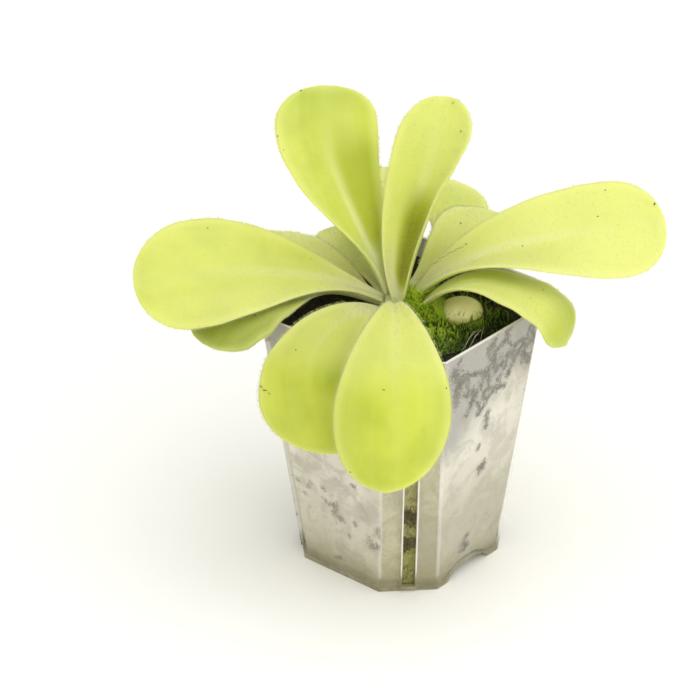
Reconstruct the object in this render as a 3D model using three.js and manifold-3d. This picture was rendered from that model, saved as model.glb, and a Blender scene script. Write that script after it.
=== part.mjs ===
// A butterwort (a broad-leaved Mexican Pinguicula) growing in a clear, square, cut-cornered pot.
// Millimetres, +Z up. The origin is the centre of the pot's base, on the surface that it stands on,
// and the pot's four wide faces are square to X and Y. Angles round the plant run from +X towards +Y.
import * as THREE from 'three';
import { mergeVertices } from 'three/addons/utils/BufferGeometryUtils.js';
import Module from 'manifold-3d';

const wasm = await Module();
wasm.setup();

// ---- Driving dimensions ----

const CLEARANCE = 0.3; // left between two pieces that touch

// The pot: half its width across the faces and the length cut off each corner, at the rim and at the base.
const POT = { height: 77, rimHalf: 33, rimCut: 12, baseHalf: 25, baseCut: 11.5, wall: 1, floor: 1.4 };
const SLOT = { width: 3.6, bottom: 1.8, top: 66, lip: 0.9, lipHeight: 0.5 }; // one down each cut corner
const ARCH = { width: 18, height: 3.6, depth: 8 }; // recess in the base edge of the +X and -X faces
const DRAIN = { radius: 1.8, ring: 13, count: 4 }; // round holes in the floor

// What fills the pot, from the floor up.
const FILL_TOP = 50;
const SOIL_TOP = 72;
const SOIL_RELIEF = 0.8;

// The crown: a short stem whose axis stands a little off the pot's, with its roots.
const CROWN = { x: -1.5, y: -1.5, bottom: 66, top: 79.2, radius: 4 };
const ROOT = { count: 5, radius: 0.6, reach: 9, depth: 10 };

// The pebble and the moss on the soil.
const PEBBLE = { x: 14.7, y: 7.5, z: 74.4, length: 13, width: 10, height: 8, turn: 35 };
const MOSS_MOUNDS = [
  { x: 7.5, y: 1.5, rx: 8.5, ry: 8.5, height: 6.6 },
  { x: 20, y: 9, rx: 10, ry: 8, height: 2.2 },
  { x: 16, y: -6, rx: 10.5, ry: 8, height: 2.4 },
];
const MOSS_SHOOT = { count: 96, radius: 0.55, length: 2.8, seed: 11 };

// The leaves, oldest and lowest first. Angles are in degrees, lengths in millimetres.
//   seat      where its base sits on the crown: angle round the stem, and height
//   heading   way the leaf points at even steps from its base to its tip
//   rise      slope of the midrib at even steps from its base to its tip
//   roll      turn of the blade about its midrib at its base and tip, left side up
//   cup       half the arc of its cross-section at its base, middle and tip, edges up
//   widest    where along the leaf it is widest
//   stalk     how long it stays narrow before it broadens: 1 is a wedge, 2 a long stalk
//   tip       how blunt its end is, where that isn't LEAF.tip
//   sway      how far its tip swings towards its own left side
const LEAVES = {
  outer_leaf_1: { seat: [213, 75], heading: [218, 238, 248], rise: [23, 13, 1, -23, -44], roll: [0, -12],
    cup: [60, 0, -20], length: 55, width: 31, widest: 0.72, stalk: 3 },
  outer_leaf_2: { seat: [161, 75], heading: [156, 146], rise: [24, 9, 3, -1, -4], roll: [0, 0],
    cup: [60, 10, -10], length: 40, width: 18, widest: 0.7, stalk: 2 },
  outer_leaf_3: { seat: [4, 72.9], heading: [11, 24, 12], rise: [45, 38, -3, -23, -90], roll: [7, 2],
    cup: [60, 8, -14], length: 57, width: 19.5, widest: 0.85, stalk: 2.1 },
  outer_leaf_4: { seat: [263, 74.6], heading: [283.5, 274.5, 305.5], rise: [29.5, 9, -19, -85, -88],
    roll: [-3.5, -7], cup: [59, -20, -12], length: 67, width: 30.2, widest: 0.81, stalk: 1.5, sway: 8.5 },
  outer_leaf_5: { seat: [100, 74.9], heading: [86, 112, 178], rise: [26, 15, 12, 9, 6], roll: [0, 0],
    cup: [60, 10, -10], length: 57, width: 19, widest: 0.8, stalk: 3.4 },
  outer_leaf_6: { seat: [188, 73.1], heading: [188, 182], rise: [36, 20, 6, -4, -10], roll: [0, 0],
    cup: [60, 10, -10], length: 50, width: 19, widest: 0.7, stalk: 1.8 },
  outer_leaf_7: { seat: [141, 76.9], heading: [137, 133], rise: [40, 20, 8, -2, -6], roll: [0, 0],
    cup: [60, 10, -10], length: 61, width: 24, widest: 0.7, stalk: 2.2 },
  middle_leaf_1: { seat: [313, 75], heading: [310, 311], rise: [42, 15, -18, -75, -88], roll: [0, 0],
    cup: [60, -15, -10], length: 82, width: 30.5, widest: 0.74, stalk: 2.9, sway: -2.5 },
  middle_leaf_2: { seat: [235, 76.9], heading: [226, 221], rise: [30, 15, 4, -4, -10], roll: [-30, -36],
    cup: [70, 15, -5], length: 69, width: 33.5, widest: 0.75, stalk: 2 },
  middle_leaf_3: { seat: [26, 75.4], heading: [40, 43], rise: [50, 30, 12, 5, 1], roll: [0, 36],
    cup: [70, 20, 5], length: 75, width: 32, widest: 0.78, stalk: 1.3 },
  middle_leaf_4: { seat: [73, 76.7], heading: [73, 85], rise: [26, 30, 14, -6, -12], roll: [-4, 7],
    cup: [62, 33, -6], length: 46, width: 26.8, widest: 0.69, stalk: 2.1 },
  inner_leaf_1: { seat: [120, 78.9], heading: [138, 132], rise: [60, 38, 20, 8, 0], roll: [0, 0],
    cup: [60, 10, -10], length: 38, width: 16, widest: 0.7, stalk: 1.8 },
  inner_leaf_2: { seat: [250, 79], heading: [192, 172, 128], rise: [68, 58, 54, 52, 50], roll: [0, -5],
    cup: [80, 20, 5], length: 60, width: 28, widest: 0.77, stalk: 1.15, tip: 2.8, sway: -1.5 },
  inner_leaf_3: { seat: [335, 77.1], heading: [109, 91, 127], rise: [83, 67, 65, 51, 45], roll: [-3, -1],
    cup: [90, 60, 30], length: 58, width: 22.3, widest: 0.72, stalk: 0.85 },
};
const LEAF = { baseWidth: 3.2, tip: 2.2, base: 1.5, rib: 1.2, margin: 0.8, rows: 16, columns: 6 };

// ---- Colours and finishes ----

const finish = (color, roughness) => new THREE.MeshStandardMaterial({ color, roughness, metalness: 0 });
const CLEAR_PLASTIC = finish('#d9d8cf', 0.35);
const SPHAGNUM = finish('#cfc8a4', 0.95);
const PEAT = finish('#211a12', 0.98);
const STONE = finish('#d8cf92', 0.7);
const MOSS = finish('#4f8a1c', 0.9);
const CROWN_FLESH = finish('#dcdcae', 0.6);
const LEAF_FLESH = finish('#c3d653', 0.5);

// ---- Solids ----

const { degToRad, lerp } = THREE.MathUtils;

// The manifold-3d solid of a closed three.js geometry.
function solidOf(geometry) {
  const bare = geometry.clone();
  bare.deleteAttribute('normal');
  bare.deleteAttribute('uv');
  const merged = mergeVertices(bare, 1e-4);
  return new wasm.Manifold(new wasm.Mesh({
    numProp: 3,
    vertProperties: merged.attributes.position.array,
    triVerts: new Uint32Array(merged.index.array),
  }));
}

// The three.js geometry of a manifold-3d solid.
function geometryOf(solid) {
  const mesh = solid.getMesh();
  const geometry = new THREE.BufferGeometry();
  geometry.setAttribute('position', new THREE.BufferAttribute(mesh.vertProperties, 3));
  geometry.setIndex(new THREE.BufferAttribute(mesh.triVerts, 1));
  return geometry;
}

// A closed geometry from its points and its faces, each face a ring of point numbers seen from outside.
function polyhedron(points, faces) {
  const geometry = new THREE.BufferGeometry();
  geometry.setAttribute('position', new THREE.Float32BufferAttribute(points.flat(), 3));
  const triangles = [];
  for (const face of faces) {
    for (let corner = 2; corner < face.length; corner++) {
      triangles.push(face[0], face[corner - 1], face[corner]);
    }
  }
  geometry.setIndex(triangles);
  return geometry;
}

// A geometry put in its place, ready for a boolean.
function placed(geometry, x, y, z, turn = 0) {
  geometry.rotateZ(degToRad(turn));
  geometry.translate(x, y, z);
  return geometry;
}

function union(solids) {
  return solids.reduce((whole, solid) => whole.add(solid));
}

// A repeatable random number from 0 to 1 (mulberry32).
function seededRandom(seed) {
  let state = seed;
  return () => {
    state = (state + 0x6d2b79f5) | 0;
    let mixed = Math.imul(state ^ (state >>> 15), 1 | state);
    mixed = (mixed + Math.imul(mixed ^ (mixed >>> 7), 61 | mixed)) ^ mixed;
    return ((mixed ^ (mixed >>> 14)) >>> 0) / 4294967296;
  };
}

// ---- The pot ----

// The pot's cut square at a height, drawn in from its outer face by an inset.
function potOutline(z, inset = 0) {
  const share = z / POT.height;
  const half = lerp(POT.baseHalf, POT.rimHalf, share) - inset;
  const cut = lerp(POT.baseCut, POT.rimCut, share) - (2 - Math.SQRT2) * inset;
  const flat = half - cut;
  return [[half, -flat], [half, flat], [flat, half], [-flat, half],
    [-half, flat], [-half, -flat], [-flat, -half], [flat, -half]];
}

// A block of the pot's own tapered shape between two heights.
function potBlock(bottom, top, inset) {
  const corners = 8;
  const points = [bottom, top].flatMap((z) => potOutline(z, inset).map(([x, y]) => [x, y, z]));
  const ring = [...Array(corners).keys()];
  const walls = ring.map((k) => [k, (k + 1) % corners, corners + (k + 1) % corners, corners + k]);
  return solidOf(polyhedron(points, [[...ring].reverse(), ring.map((k) => corners + k), ...walls]));
}

// Distance of a cut corner's outer face from the pot's axis.
function cornerReach(z) {
  const [[half, minusFlat]] = potOutline(z);
  return (half - minusFlat) / Math.SQRT2;
}

// An upright bar that follows the slope of a cut corner, centred on the wall.
function cornerBar(turn, width, depth, bottom, top, outwards = 0) {
  const slope = Math.atan2(cornerReach(top) - cornerReach(bottom), top - bottom);
  const middle = (bottom + top) / 2;
  const bar = new THREE.BoxGeometry(depth, width, (top - bottom) / Math.cos(slope));
  bar.rotateY(slope);
  bar.translate(cornerReach(middle) - POT.wall / 2 + outwards, 0, middle);
  return solidOf(placed(bar, 0, 0, 0, turn));
}

// The recess under one base edge, and with a margin the moulding round it.
function archway(side, margin) {
  const halfWidth = ARCH.width / 2 + margin;
  const crest = ARCH.height + margin;
  const outline = new THREE.Shape();
  outline.moveTo(-halfWidth, -1);
  outline.lineTo(halfWidth, -1);
  outline.lineTo(halfWidth, 0);
  outline.quadraticCurveTo(halfWidth * 0.75, crest, 0, crest);
  outline.quadraticCurveTo(-halfWidth * 0.75, crest, -halfWidth, 0);
  const length = ARCH.depth + margin + 1;
  const arch = new THREE.ExtrudeGeometry(outline, { depth: length, bevelEnabled: false, curveSegments: 5 });
  arch.rotateX(Math.PI / 2);
  arch.rotateZ(Math.PI / 2);
  arch.translate(POT.baseHalf + 1 - length, 0, 0);
  return solidOf(placed(arch, 0, 0, 0, side));
}

function potSolid() {
  const openTop = 1;
  const archSides = [0, 180];
  const mouldings = union(archSides.map((side) => archway(side, POT.wall)));
  const cavity = potBlock(POT.floor, POT.height + openTop, POT.wall).subtract(mouldings);
  let pot = potBlock(0, POT.height, 0).subtract(cavity);
  const lipWidth = SLOT.width + 2 * SLOT.lip;
  for (const turn of [45, 135, 225, 315]) {
    pot = pot.add(cornerBar(turn, lipWidth, POT.wall, SLOT.bottom - 1, SLOT.top + 1, SLOT.lipHeight));
    pot = pot.subtract(cornerBar(turn, SLOT.width, 5 * POT.wall, SLOT.bottom, SLOT.top));
  }
  for (const side of archSides) {
    pot = pot.subtract(archway(side, 0));
  }
  for (let hole = 0; hole < DRAIN.count; hole++) {
    const angle = (2 * Math.PI * hole) / DRAIN.count;
    const drill = new THREE.CylinderGeometry(DRAIN.radius, DRAIN.radius, 4 * POT.floor, 16);
    drill.rotateX(Math.PI / 2);
    const [x, y] = [DRAIN.ring * Math.cos(angle), DRAIN.ring * Math.sin(angle)];
    pot = pot.subtract(solidOf(placed(drill, x, y, 0)));
  }
  return pot;
}

// ---- Soil, crown, pebble and moss ----

// Height of the soil's uneven top.
function soilHeight(x, y) {
  const swell = 0.6 * Math.sin(0.31 * x + 1) * Math.cos(0.27 * y);
  const lumps = 0.4 * Math.sin(0.7 * x - 0.5 * y);
  return SOIL_TOP + SOIL_RELIEF * (swell + lumps);
}

function fillSolid() {
  const body = potBlock(POT.floor + CLEARANCE, FILL_TOP, POT.wall + CLEARANCE);
  const margin = POT.wall + CLEARANCE;
  return body.subtract(archway(0, margin)).subtract(archway(180, margin));
}

// The peat before its holes: the pot's own outline below, and rings of points that follow the soil on top.
function groundSolid() {
  const inset = POT.wall + CLEARANCE;
  const bottom = FILL_TOP + CLEARANCE;
  const perSide = 3;
  const rings = 7;
  const around = (z) => {
    const corners = potOutline(z, inset);
    return corners.flatMap(([x, y], k) => {
      const [nextX, nextY] = corners[(k + 1) % corners.length];
      return [...Array(perSide).keys()].map((step) => [
        lerp(x, nextX, step / perSide), lerp(y, nextY, step / perSide)]);
    });
  };
  const edge = around(SOIL_TOP - SOIL_RELIEF);
  const count = edge.length;
  const points = around(bottom).map(([x, y]) => [x, y, bottom]);
  points.push([0, 0, bottom], [0, 0, soilHeight(0, 0)]);
  for (let ring = rings; ring > 0; ring--) {
    const share = ring / rings;
    points.push(...edge.map(([x, y]) => [
      x * share, y * share, ring === rings ? SOIL_TOP - SOIL_RELIEF : soilHeight(x * share, y * share)]));
  }
  const bottomCentre = count;
  const topCentre = count + 1;
  const ringStart = (ring) => count + 2 + ring * count;
  const faces = [];
  for (let k = 0; k < count; k++) {
    const next = (k + 1) % count;
    faces.push([bottomCentre, next, k]);
    faces.push([k, next, ringStart(0) + next, ringStart(0) + k]);
    for (let ring = 1; ring < rings; ring++) {
      const outer = ringStart(ring - 1);
      const inner = ringStart(ring);
      faces.push([outer + k, outer + next, inner + next, inner + k]);
    }
    faces.push([ringStart(rings - 1) + k, ringStart(rings - 1) + next, topCentre]);
  }
  return solidOf(polyhedron(points, faces));
}

// Radius of the crown's stem at a height, which widens from its foot and then narrows to a dome.
function crownRadius(z) {
  const share = (z - CROWN.bottom) / (CROWN.top - CROWN.bottom);
  return CROWN.radius * Math.sin(Math.PI * (0.16 + 0.84 * Math.min(share, 1))) ** 0.5;
}

// The stem with its roots, or with a margin the hole that they stand in.
function crownSolid(margin = 0) {
  const steps = 12;
  const profile = [new THREE.Vector2(0, CROWN.bottom - margin)];
  for (let step = 0; step < steps; step++) {
    const z = lerp(CROWN.bottom, CROWN.top, step / steps);
    profile.push(new THREE.Vector2(crownRadius(z) + margin, step === 0 ? z - margin : z));
  }
  profile.push(new THREE.Vector2(0, CROWN.top + margin));
  const stem = new THREE.LatheGeometry(profile, 18);
  stem.rotateX(Math.PI / 2);
  const roots = [...Array(ROOT.count).keys()].map((k) => {
    const angle = (2 * Math.PI * k) / ROOT.count + 0.4;
    const towards = (reach, z) => new THREE.Vector3(reach * Math.cos(angle), reach * Math.sin(angle), z);
    const path = new THREE.QuadraticBezierCurve3(
      towards(1, CROWN.bottom + 2),
      towards(ROOT.reach * 0.6, CROWN.bottom - 1),
      towards(ROOT.reach, CROWN.bottom - ROOT.depth - margin),
    );
    const section = new THREE.Shape();
    section.absarc(0, 0, ROOT.radius + margin, 0, 2 * Math.PI);
    return solidOf(new THREE.ExtrudeGeometry(section, {
      steps: 5, curveSegments: 3, bevelEnabled: false, extrudePath: path }));
  });
  return union([solidOf(stem), ...roots]).translate([CROWN.x, CROWN.y, 0]);
}

// The pebble, or with a margin the hollow that it lies in.
function pebbleSolid(margin = 0) {
  const stone = new THREE.SphereGeometry(1, 16, 10);
  const at = stone.attributes.position;
  const point = new THREE.Vector3();
  for (let k = 0; k < at.count; k++) {
    point.fromBufferAttribute(at, k);
    const swell = 1 + 0.05 * Math.sin(2.3 * point.x + 1) - 0.04 * Math.cos(3 * point.y);
    const [x, y, z] = [PEBBLE.length, PEBBLE.width, PEBBLE.height].map((size) => (size / 2) * swell + margin);
    at.setXYZ(k, point.x * x, point.y * y, point.z * z);
  }
  return solidOf(placed(stone, PEBBLE.x, PEBBLE.y, PEBBLE.z, PEBBLE.turn));
}

// One mound of moss: rings of points under a domed top, all standing clear of the soil.
function mossMound(mound) {
  const columns = 18;
  const rings = 4;
  const skirt = 0.6;
  const spots = [];
  for (let ring = rings; ring > 0; ring--) {
    const share = ring / rings;
    for (let k = 0; k < columns; k++) {
      const angle = (2 * Math.PI * k) / columns;
      const x = mound.x + mound.rx * share * Math.cos(angle);
      const y = mound.y + mound.ry * share * Math.sin(angle);
      spots.push({ x, y, share });
    }
  }
  spots.push({ x: mound.x, y: mound.y, share: 0 });
  const floorAt = (spot) => soilHeight(spot.x, spot.y) + CLEARANCE;
  const domeAt = (spot) => floorAt(spot) + skirt + mound.height * (1 - spot.share ** 2);
  const top = spots.map((spot) => [spot.x, spot.y, domeAt(spot)]);
  const bottom = spots.map((spot) => [spot.x, spot.y, floorAt(spot)]);
  const under = spots.length;
  const faces = [];
  for (let k = 0; k < columns; k++) {
    const next = (k + 1) % columns;
    faces.push([under + k, under + next, next, k]);
    for (let ring = 1; ring < rings; ring++) {
      const outer = (ring - 1) * columns;
      const inner = ring * columns;
      faces.push([outer + k, outer + next, inner + next, inner + k]);
      faces.push([under + outer + next, under + outer + k, under + inner + k, under + inner + next]);
    }
    const last = (rings - 1) * columns;
    faces.push([last + k, last + next, under - 1]);
    faces.push([under + last + next, under + last + k, 2 * under - 1]);
  }
  return solidOf(polyhedron([...top, ...bottom], faces));
}

// The moss: its mounds, with short leaning shoots that stand out of them, cleared round its neighbours.
function mossSolid(neighbours) {
  const random = seededRandom(MOSS_SHOOT.seed);
  const shoots = [];
  for (let k = 0; k < MOSS_SHOOT.count; k++) {
    const mound = MOSS_MOUNDS[k % MOSS_MOUNDS.length];
    const angle = 2 * Math.PI * random();
    const share = 0.9 * Math.sqrt(random());
    const x = mound.x + mound.rx * share * Math.cos(angle);
    const y = mound.y + mound.ry * share * Math.sin(angle);
    const foot = soilHeight(x, y) + CLEARANCE + 0.2 + mound.height * (1 - share ** 2);
    const length = MOSS_SHOOT.length * (0.8 + 0.5 * random());
    const shoot = new THREE.ConeGeometry(MOSS_SHOOT.radius, length, 4);
    shoot.translate(0, length / 2, 0);
    shoot.rotateX(Math.PI / 2 - 0.5 * share * random());
    shoots.push(solidOf(placed(shoot, x, y, foot, 360 * random())));
  }
  const moss = union([...MOSS_MOUNDS.map(mossMound), ...shoots]);
  return largest(neighbours.reduce((left, neighbour) => left.subtract(neighbour), moss));
}

// The biggest body of a solid, without the scraps that a cut leaves.
function largest(solid) {
  return solid.decompose().reduce((best, body) => (body.volume() > best.volume() ? body : best));
}

// ---- The leaves ----

// The smooth value at a share of the way along evenly spaced values (a Catmull-Rom spline).
function along(values, share) {
  const last = values.length - 1;
  const start = Math.min(Math.floor(share * last), last - 1);
  const t = share * last - start;
  const before = values[Math.max(start - 1, 0)];
  const after = values[Math.min(start + 2, last)];
  const slopeIn = (values[start + 1] - before) / 2;
  const slopeOut = (after - values[start]) / 2;
  const rest = 1 - t;
  return values[start] * (1 + 2 * t) * rest * rest + values[start + 1] * t * t * (3 - 2 * t)
    + slopeIn * t * rest * rest - slopeOut * t * t * rest;
}

// Half the leaf's width at a share of its length: a broadening stalk, then a round-ended blade.
function halfWidth(leaf, share) {
  const greatest = leaf.width / 2;
  if (share > leaf.widest) {
    return greatest * Math.sqrt(1 - ((share - leaf.widest) / (1 - leaf.widest)) ** (leaf.tip ?? LEAF.tip));
  }
  return lerp(LEAF.baseWidth / 2, greatest, Math.sin((Math.PI / 2) * (share / leaf.widest)) ** leaf.stalk);
}

// The midrib: points and directions at even steps, from a seat that far from the crown's axis.
function midrib(leaf, seatRadius) {
  const steps = 120;
  const direction = (share) => {
    const rise = degToRad(along(leaf.rise, share));
    const heading = degToRad(along(leaf.heading, share));
    const level = Math.cos(rise);
    return new THREE.Vector3(level * Math.cos(heading), level * Math.sin(heading), Math.sin(rise));
  };
  const [seatAngle, seatHeight] = leaf.seat;
  const point = new THREE.Vector3(CROWN.x, CROWN.y, seatHeight);
  point.x += seatRadius * Math.cos(degToRad(seatAngle));
  point.y += seatRadius * Math.sin(degToRad(seatAngle));
  const points = [point.clone()];
  for (let step = 0; step < steps; step++) {
    point.addScaledVector(direction((step + 0.5) / steps), leaf.length / steps);
    points.push(point.clone());
  }
  return { at: (share) => points[Math.round(share * steps)], direction };
}

// The leaf's middle surface and its thickness, as a grid of points from base to tip and from side to side.
function leafGrid(leaf, grow, seatRadius) {
  const rib = midrib(leaf, seatRadius);
  const grid = [];
  for (let row = 0; row <= LEAF.rows; row++) {
    const share = Math.sin((Math.PI / 2) * (row / LEAF.rows)) ** 1.1 * 0.995;
    const forwards = rib.direction(share);
    const heading = degToRad(along(leaf.heading, share));
    const level = new THREE.Vector3(-Math.sin(heading), Math.cos(heading), 0);
    const upwards = new THREE.Vector3().crossVectors(forwards, level);
    const roll = degToRad(lerp(leaf.roll[0], leaf.roll[1], share));
    const side = level.clone().multiplyScalar(Math.cos(roll)).addScaledVector(upwards, Math.sin(roll));
    const up = upwards.clone().multiplyScalar(Math.cos(roll)).addScaledVector(level, -Math.sin(roll));
    const arc = degToRad(along(leaf.cup, share)) || 1e-6;
    const reach = halfWidth(leaf, share) + grow;
    const overshoot = { 0: -grow, [LEAF.rows]: grow }[row] ?? 0;
    const sway = (leaf.sway ?? 0) * share ** 3;
    const line = [];
    for (let column = 0; column <= LEAF.columns; column++) {
      const across = (2 * column) / LEAF.columns - 1;
      const bend = arc * across;
      const middle = rib.at(share).clone()
        .addScaledVector(forwards, overshoot)
        .addScaledVector(side, sway + (reach * Math.sin(bend)) / arc)
        .addScaledVector(up, (reach * (1 - Math.cos(bend))) / arc);
      const out = side.clone().multiplyScalar(-Math.sin(bend)).addScaledVector(up, Math.cos(bend));
      const fleshy = lerp(LEAF.base, LEAF.rib, Math.min(share / 0.35, 1));
      const thick = lerp(fleshy, LEAF.margin, Math.abs(across) ** 1.5) / 2 + grow;
      const top = middle.clone().addScaledVector(out, thick);
      const under = middle.clone().addScaledVector(out, -thick);
      line.push({ top, under });
    }
    grid.push(line);
  }
  return grid;
}

// Distance of a leaf's base from the crown's axis at which the whole leaf is just clear of the stem.
function leafSeatRadius(leaf) {
  const step = 0.02;
  const touches = ({ x, y, z }) => z < CROWN.top
    && Math.hypot(x - CROWN.x, y - CROWN.y) < crownRadius(z) + CLEARANCE;
  let radius = 0;
  while (leafGrid(leaf, 0, radius).flat().some((spot) => touches(spot.top) || touches(spot.under))) {
    radius += step;
  }
  return radius;
}

// One leaf as a closed solid: both faces split alike, with a rim between them.
function leafSolid(leaf, grow = 0) {
  const grid = leafGrid(leaf, grow, leafSeatRadius(leaf));
  const width = LEAF.columns + 1;
  const under = grid.length * width;
  const spots = grid.flat();
  const points = [...spots.map((spot) => spot.top.toArray()), ...spots.map((spot) => spot.under.toArray())];
  const faces = [];
  for (let row = 0; row < LEAF.rows; row++) {
    for (let column = 0; column < LEAF.columns; column++) {
      const near = row * width + column;
      const far = near + width;
      faces.push([near, far, far + 1], [near, far + 1, near + 1]);
      faces.push([under + far + 1, under + far, under + near]);
      faces.push([under + near + 1, under + far + 1, under + near]);
    }
    for (const edge of [0, LEAF.columns]) {
      const near = row * width + edge;
      const far = near + width;
      const rim = [near, under + near, under + far, far];
      faces.push(edge === 0 ? rim : rim.reverse());
    }
  }
  for (let column = 0; column < LEAF.columns; column++) {
    const tip = LEAF.rows * width + column;
    faces.push([column, column + 1, under + column + 1, under + column]);
    faces.push([tip + 1, tip, under + tip, under + tip + 1]);
  }
  return solidOf(polyhedron(points, faces));
}

// ---- The object ----

const plant = new THREE.Group();

function addPiece(name, solid, material) {
  const piece = new THREE.Mesh(geometryOf(solid), material);
  piece.name = name;
  plant.add(piece);
}

const pebbleHollow = pebbleSolid(CLEARANCE);
const crownHole = crownSolid(CLEARANCE);
const ground = groundSolid();
const leaves = Object.entries(LEAVES);
const leafHollows = leaves.map(([, leaf]) => leafSolid(leaf, CLEARANCE));

addPiece('pot', potSolid(), CLEAR_PLASTIC);
addPiece('sphagnum_fill', fillSolid(), SPHAGNUM);
addPiece('peat', ground.subtract(crownHole).subtract(pebbleHollow), PEAT);
addPiece('pebble', pebbleSolid(), STONE);
const mossNeighbours = [ground.translate([0, 0, CLEARANCE]), crownHole, pebbleHollow, ...leafHollows];
addPiece('moss', mossSolid(mossNeighbours), MOSS);
addPiece('crown', crownSolid(), CROWN_FLESH);
for (const [name, leaf] of leaves) {
  addPiece(name, leafSolid(leaf), LEAF_FLESH);
}

export default plant;
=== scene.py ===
"""The looks of a butterwort growing in a clear square pot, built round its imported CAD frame.

Lengths are in millimetres and angles in degrees, as in the CAD source, until MM turns them into metres.
The leaf formula and its dimensions are the CAD source's own, here sampled much more finely.
"""
import math

import bmesh
import bpy
import numpy as np
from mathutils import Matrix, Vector
from mathutils.bvhtree import BVHTree


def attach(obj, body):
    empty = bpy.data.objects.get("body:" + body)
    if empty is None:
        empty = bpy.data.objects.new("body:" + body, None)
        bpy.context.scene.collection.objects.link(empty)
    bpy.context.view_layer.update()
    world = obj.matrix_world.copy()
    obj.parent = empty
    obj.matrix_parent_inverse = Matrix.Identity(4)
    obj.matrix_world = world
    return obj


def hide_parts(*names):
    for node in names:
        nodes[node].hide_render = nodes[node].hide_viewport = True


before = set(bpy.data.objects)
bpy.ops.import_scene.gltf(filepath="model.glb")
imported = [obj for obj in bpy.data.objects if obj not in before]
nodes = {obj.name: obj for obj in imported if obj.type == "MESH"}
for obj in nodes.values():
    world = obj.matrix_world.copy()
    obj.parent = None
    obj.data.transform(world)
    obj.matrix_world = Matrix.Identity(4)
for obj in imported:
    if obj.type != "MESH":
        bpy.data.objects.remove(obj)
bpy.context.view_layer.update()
MM = 0.001

# ---- Dimensions shared with the CAD source ----

POT_HEIGHT, RIM_HALF, RIM_CUT, BASE_HALF, BASE_CUT, WALL = 77, 33, 12, 25, 11.5, 1
SLOT_WIDTH, SLOT_BOTTOM, FILL_TOP = 3.6, 1.8, 50
CROWN_X, CROWN_Y, CROWN_BOTTOM, CROWN_TOP, CROWN_RADIUS = -1.5, -1.5, 66, 79.2, 4
CLEARANCE = 0.3
PEBBLE_CENTRE, PEBBLE_SIZE, PEBBLE_TURN = (14.7, 7.5, 74.4), (13, 10, 8), 35
BASE_WIDTH, BASE_THICK, RIB_THICK, MARGIN_THICK = 3.2, 1.5, 1.2, 0.8
# The rows of a leaf crowd towards its tip by this power, in the CAD source too.
ROW_POWER = 1.1

# ---- Dimensions of the looks ----

BLADE_ROWS, BLADE_COLUMNS = 84, 30
HAIRS_ON_FACE, HAIRS_ON_EDGE, HAIR_RADIUS, DROP_RADIUS = 1150, 900, 0.038, 0.07
# The share across a leaf at which its margin starts, and the rest of it.
EDGE_START, EDGE_BAND = 0.985, 0.015
# How many are tried on the moss, round and over the pebble, on the peat and in each slot.
MOSS_SHOOTS, LONG_THREADS, PEBBLE_THREADS, PEAT_CRUMBS, SLOT_FIBRES = 9000, 260, 34, 1500, 150
# Where the moss is lushest, the distance at which it ends, over which width it thins, and its lowest foot.
MOSS_MIDDLE, MOSS_END, MOSS_FADE, MOSS_FOOT = (3.5, 4.5), 15.5, 10, 72.2
# The oval round the pebble without shoots, and the middle, size and height of the ring of long threads.
BARE_OVAL, RING_MIDDLE, RING_SIZE, RING_HEIGHT = (9.5, 8.5), (15, 6.5), (7.0, 6.2), 73.0
THREAD_TINT, DARK_PLUGS = 1.4, ((13, 19), (22, 28))
# Thirds of a turn, and a length too small to matter.
THIRDS, TINY = (0.0, 2.094, 4.189), 1e-9
# The rounding of the pot's edges, the squares that carry its marks, and the order of its materials.
EDGE_ROUND, MARK_GRID = 0.22, 0.6
OUTER, INNER, EDGE = 0, 1, 2
UPWARDS = np.array([0, 0, 1.0])

# The camera, fitted to the photo, and the two soft lights: place, size and power, in metres and watts.
AZIMUTH, ELEVATION, DISTANCE, FIELD, AIM_HEIGHT, AIM_LEFT = 40.4, 28.5, 780, 14, 60.7, 13.8
SOFTBOXES = {"key": ((0.30, 0.25, 1.35), 1.8, 9.5), "front": ((0.5, 1.1, 0.35), 0.8, 3.2)}
SKY_COLOUR, SKY_STRENGTH, FLOOR_HALF = (1.0, 0.995, 0.985, 1), 0.84, 4000

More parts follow.
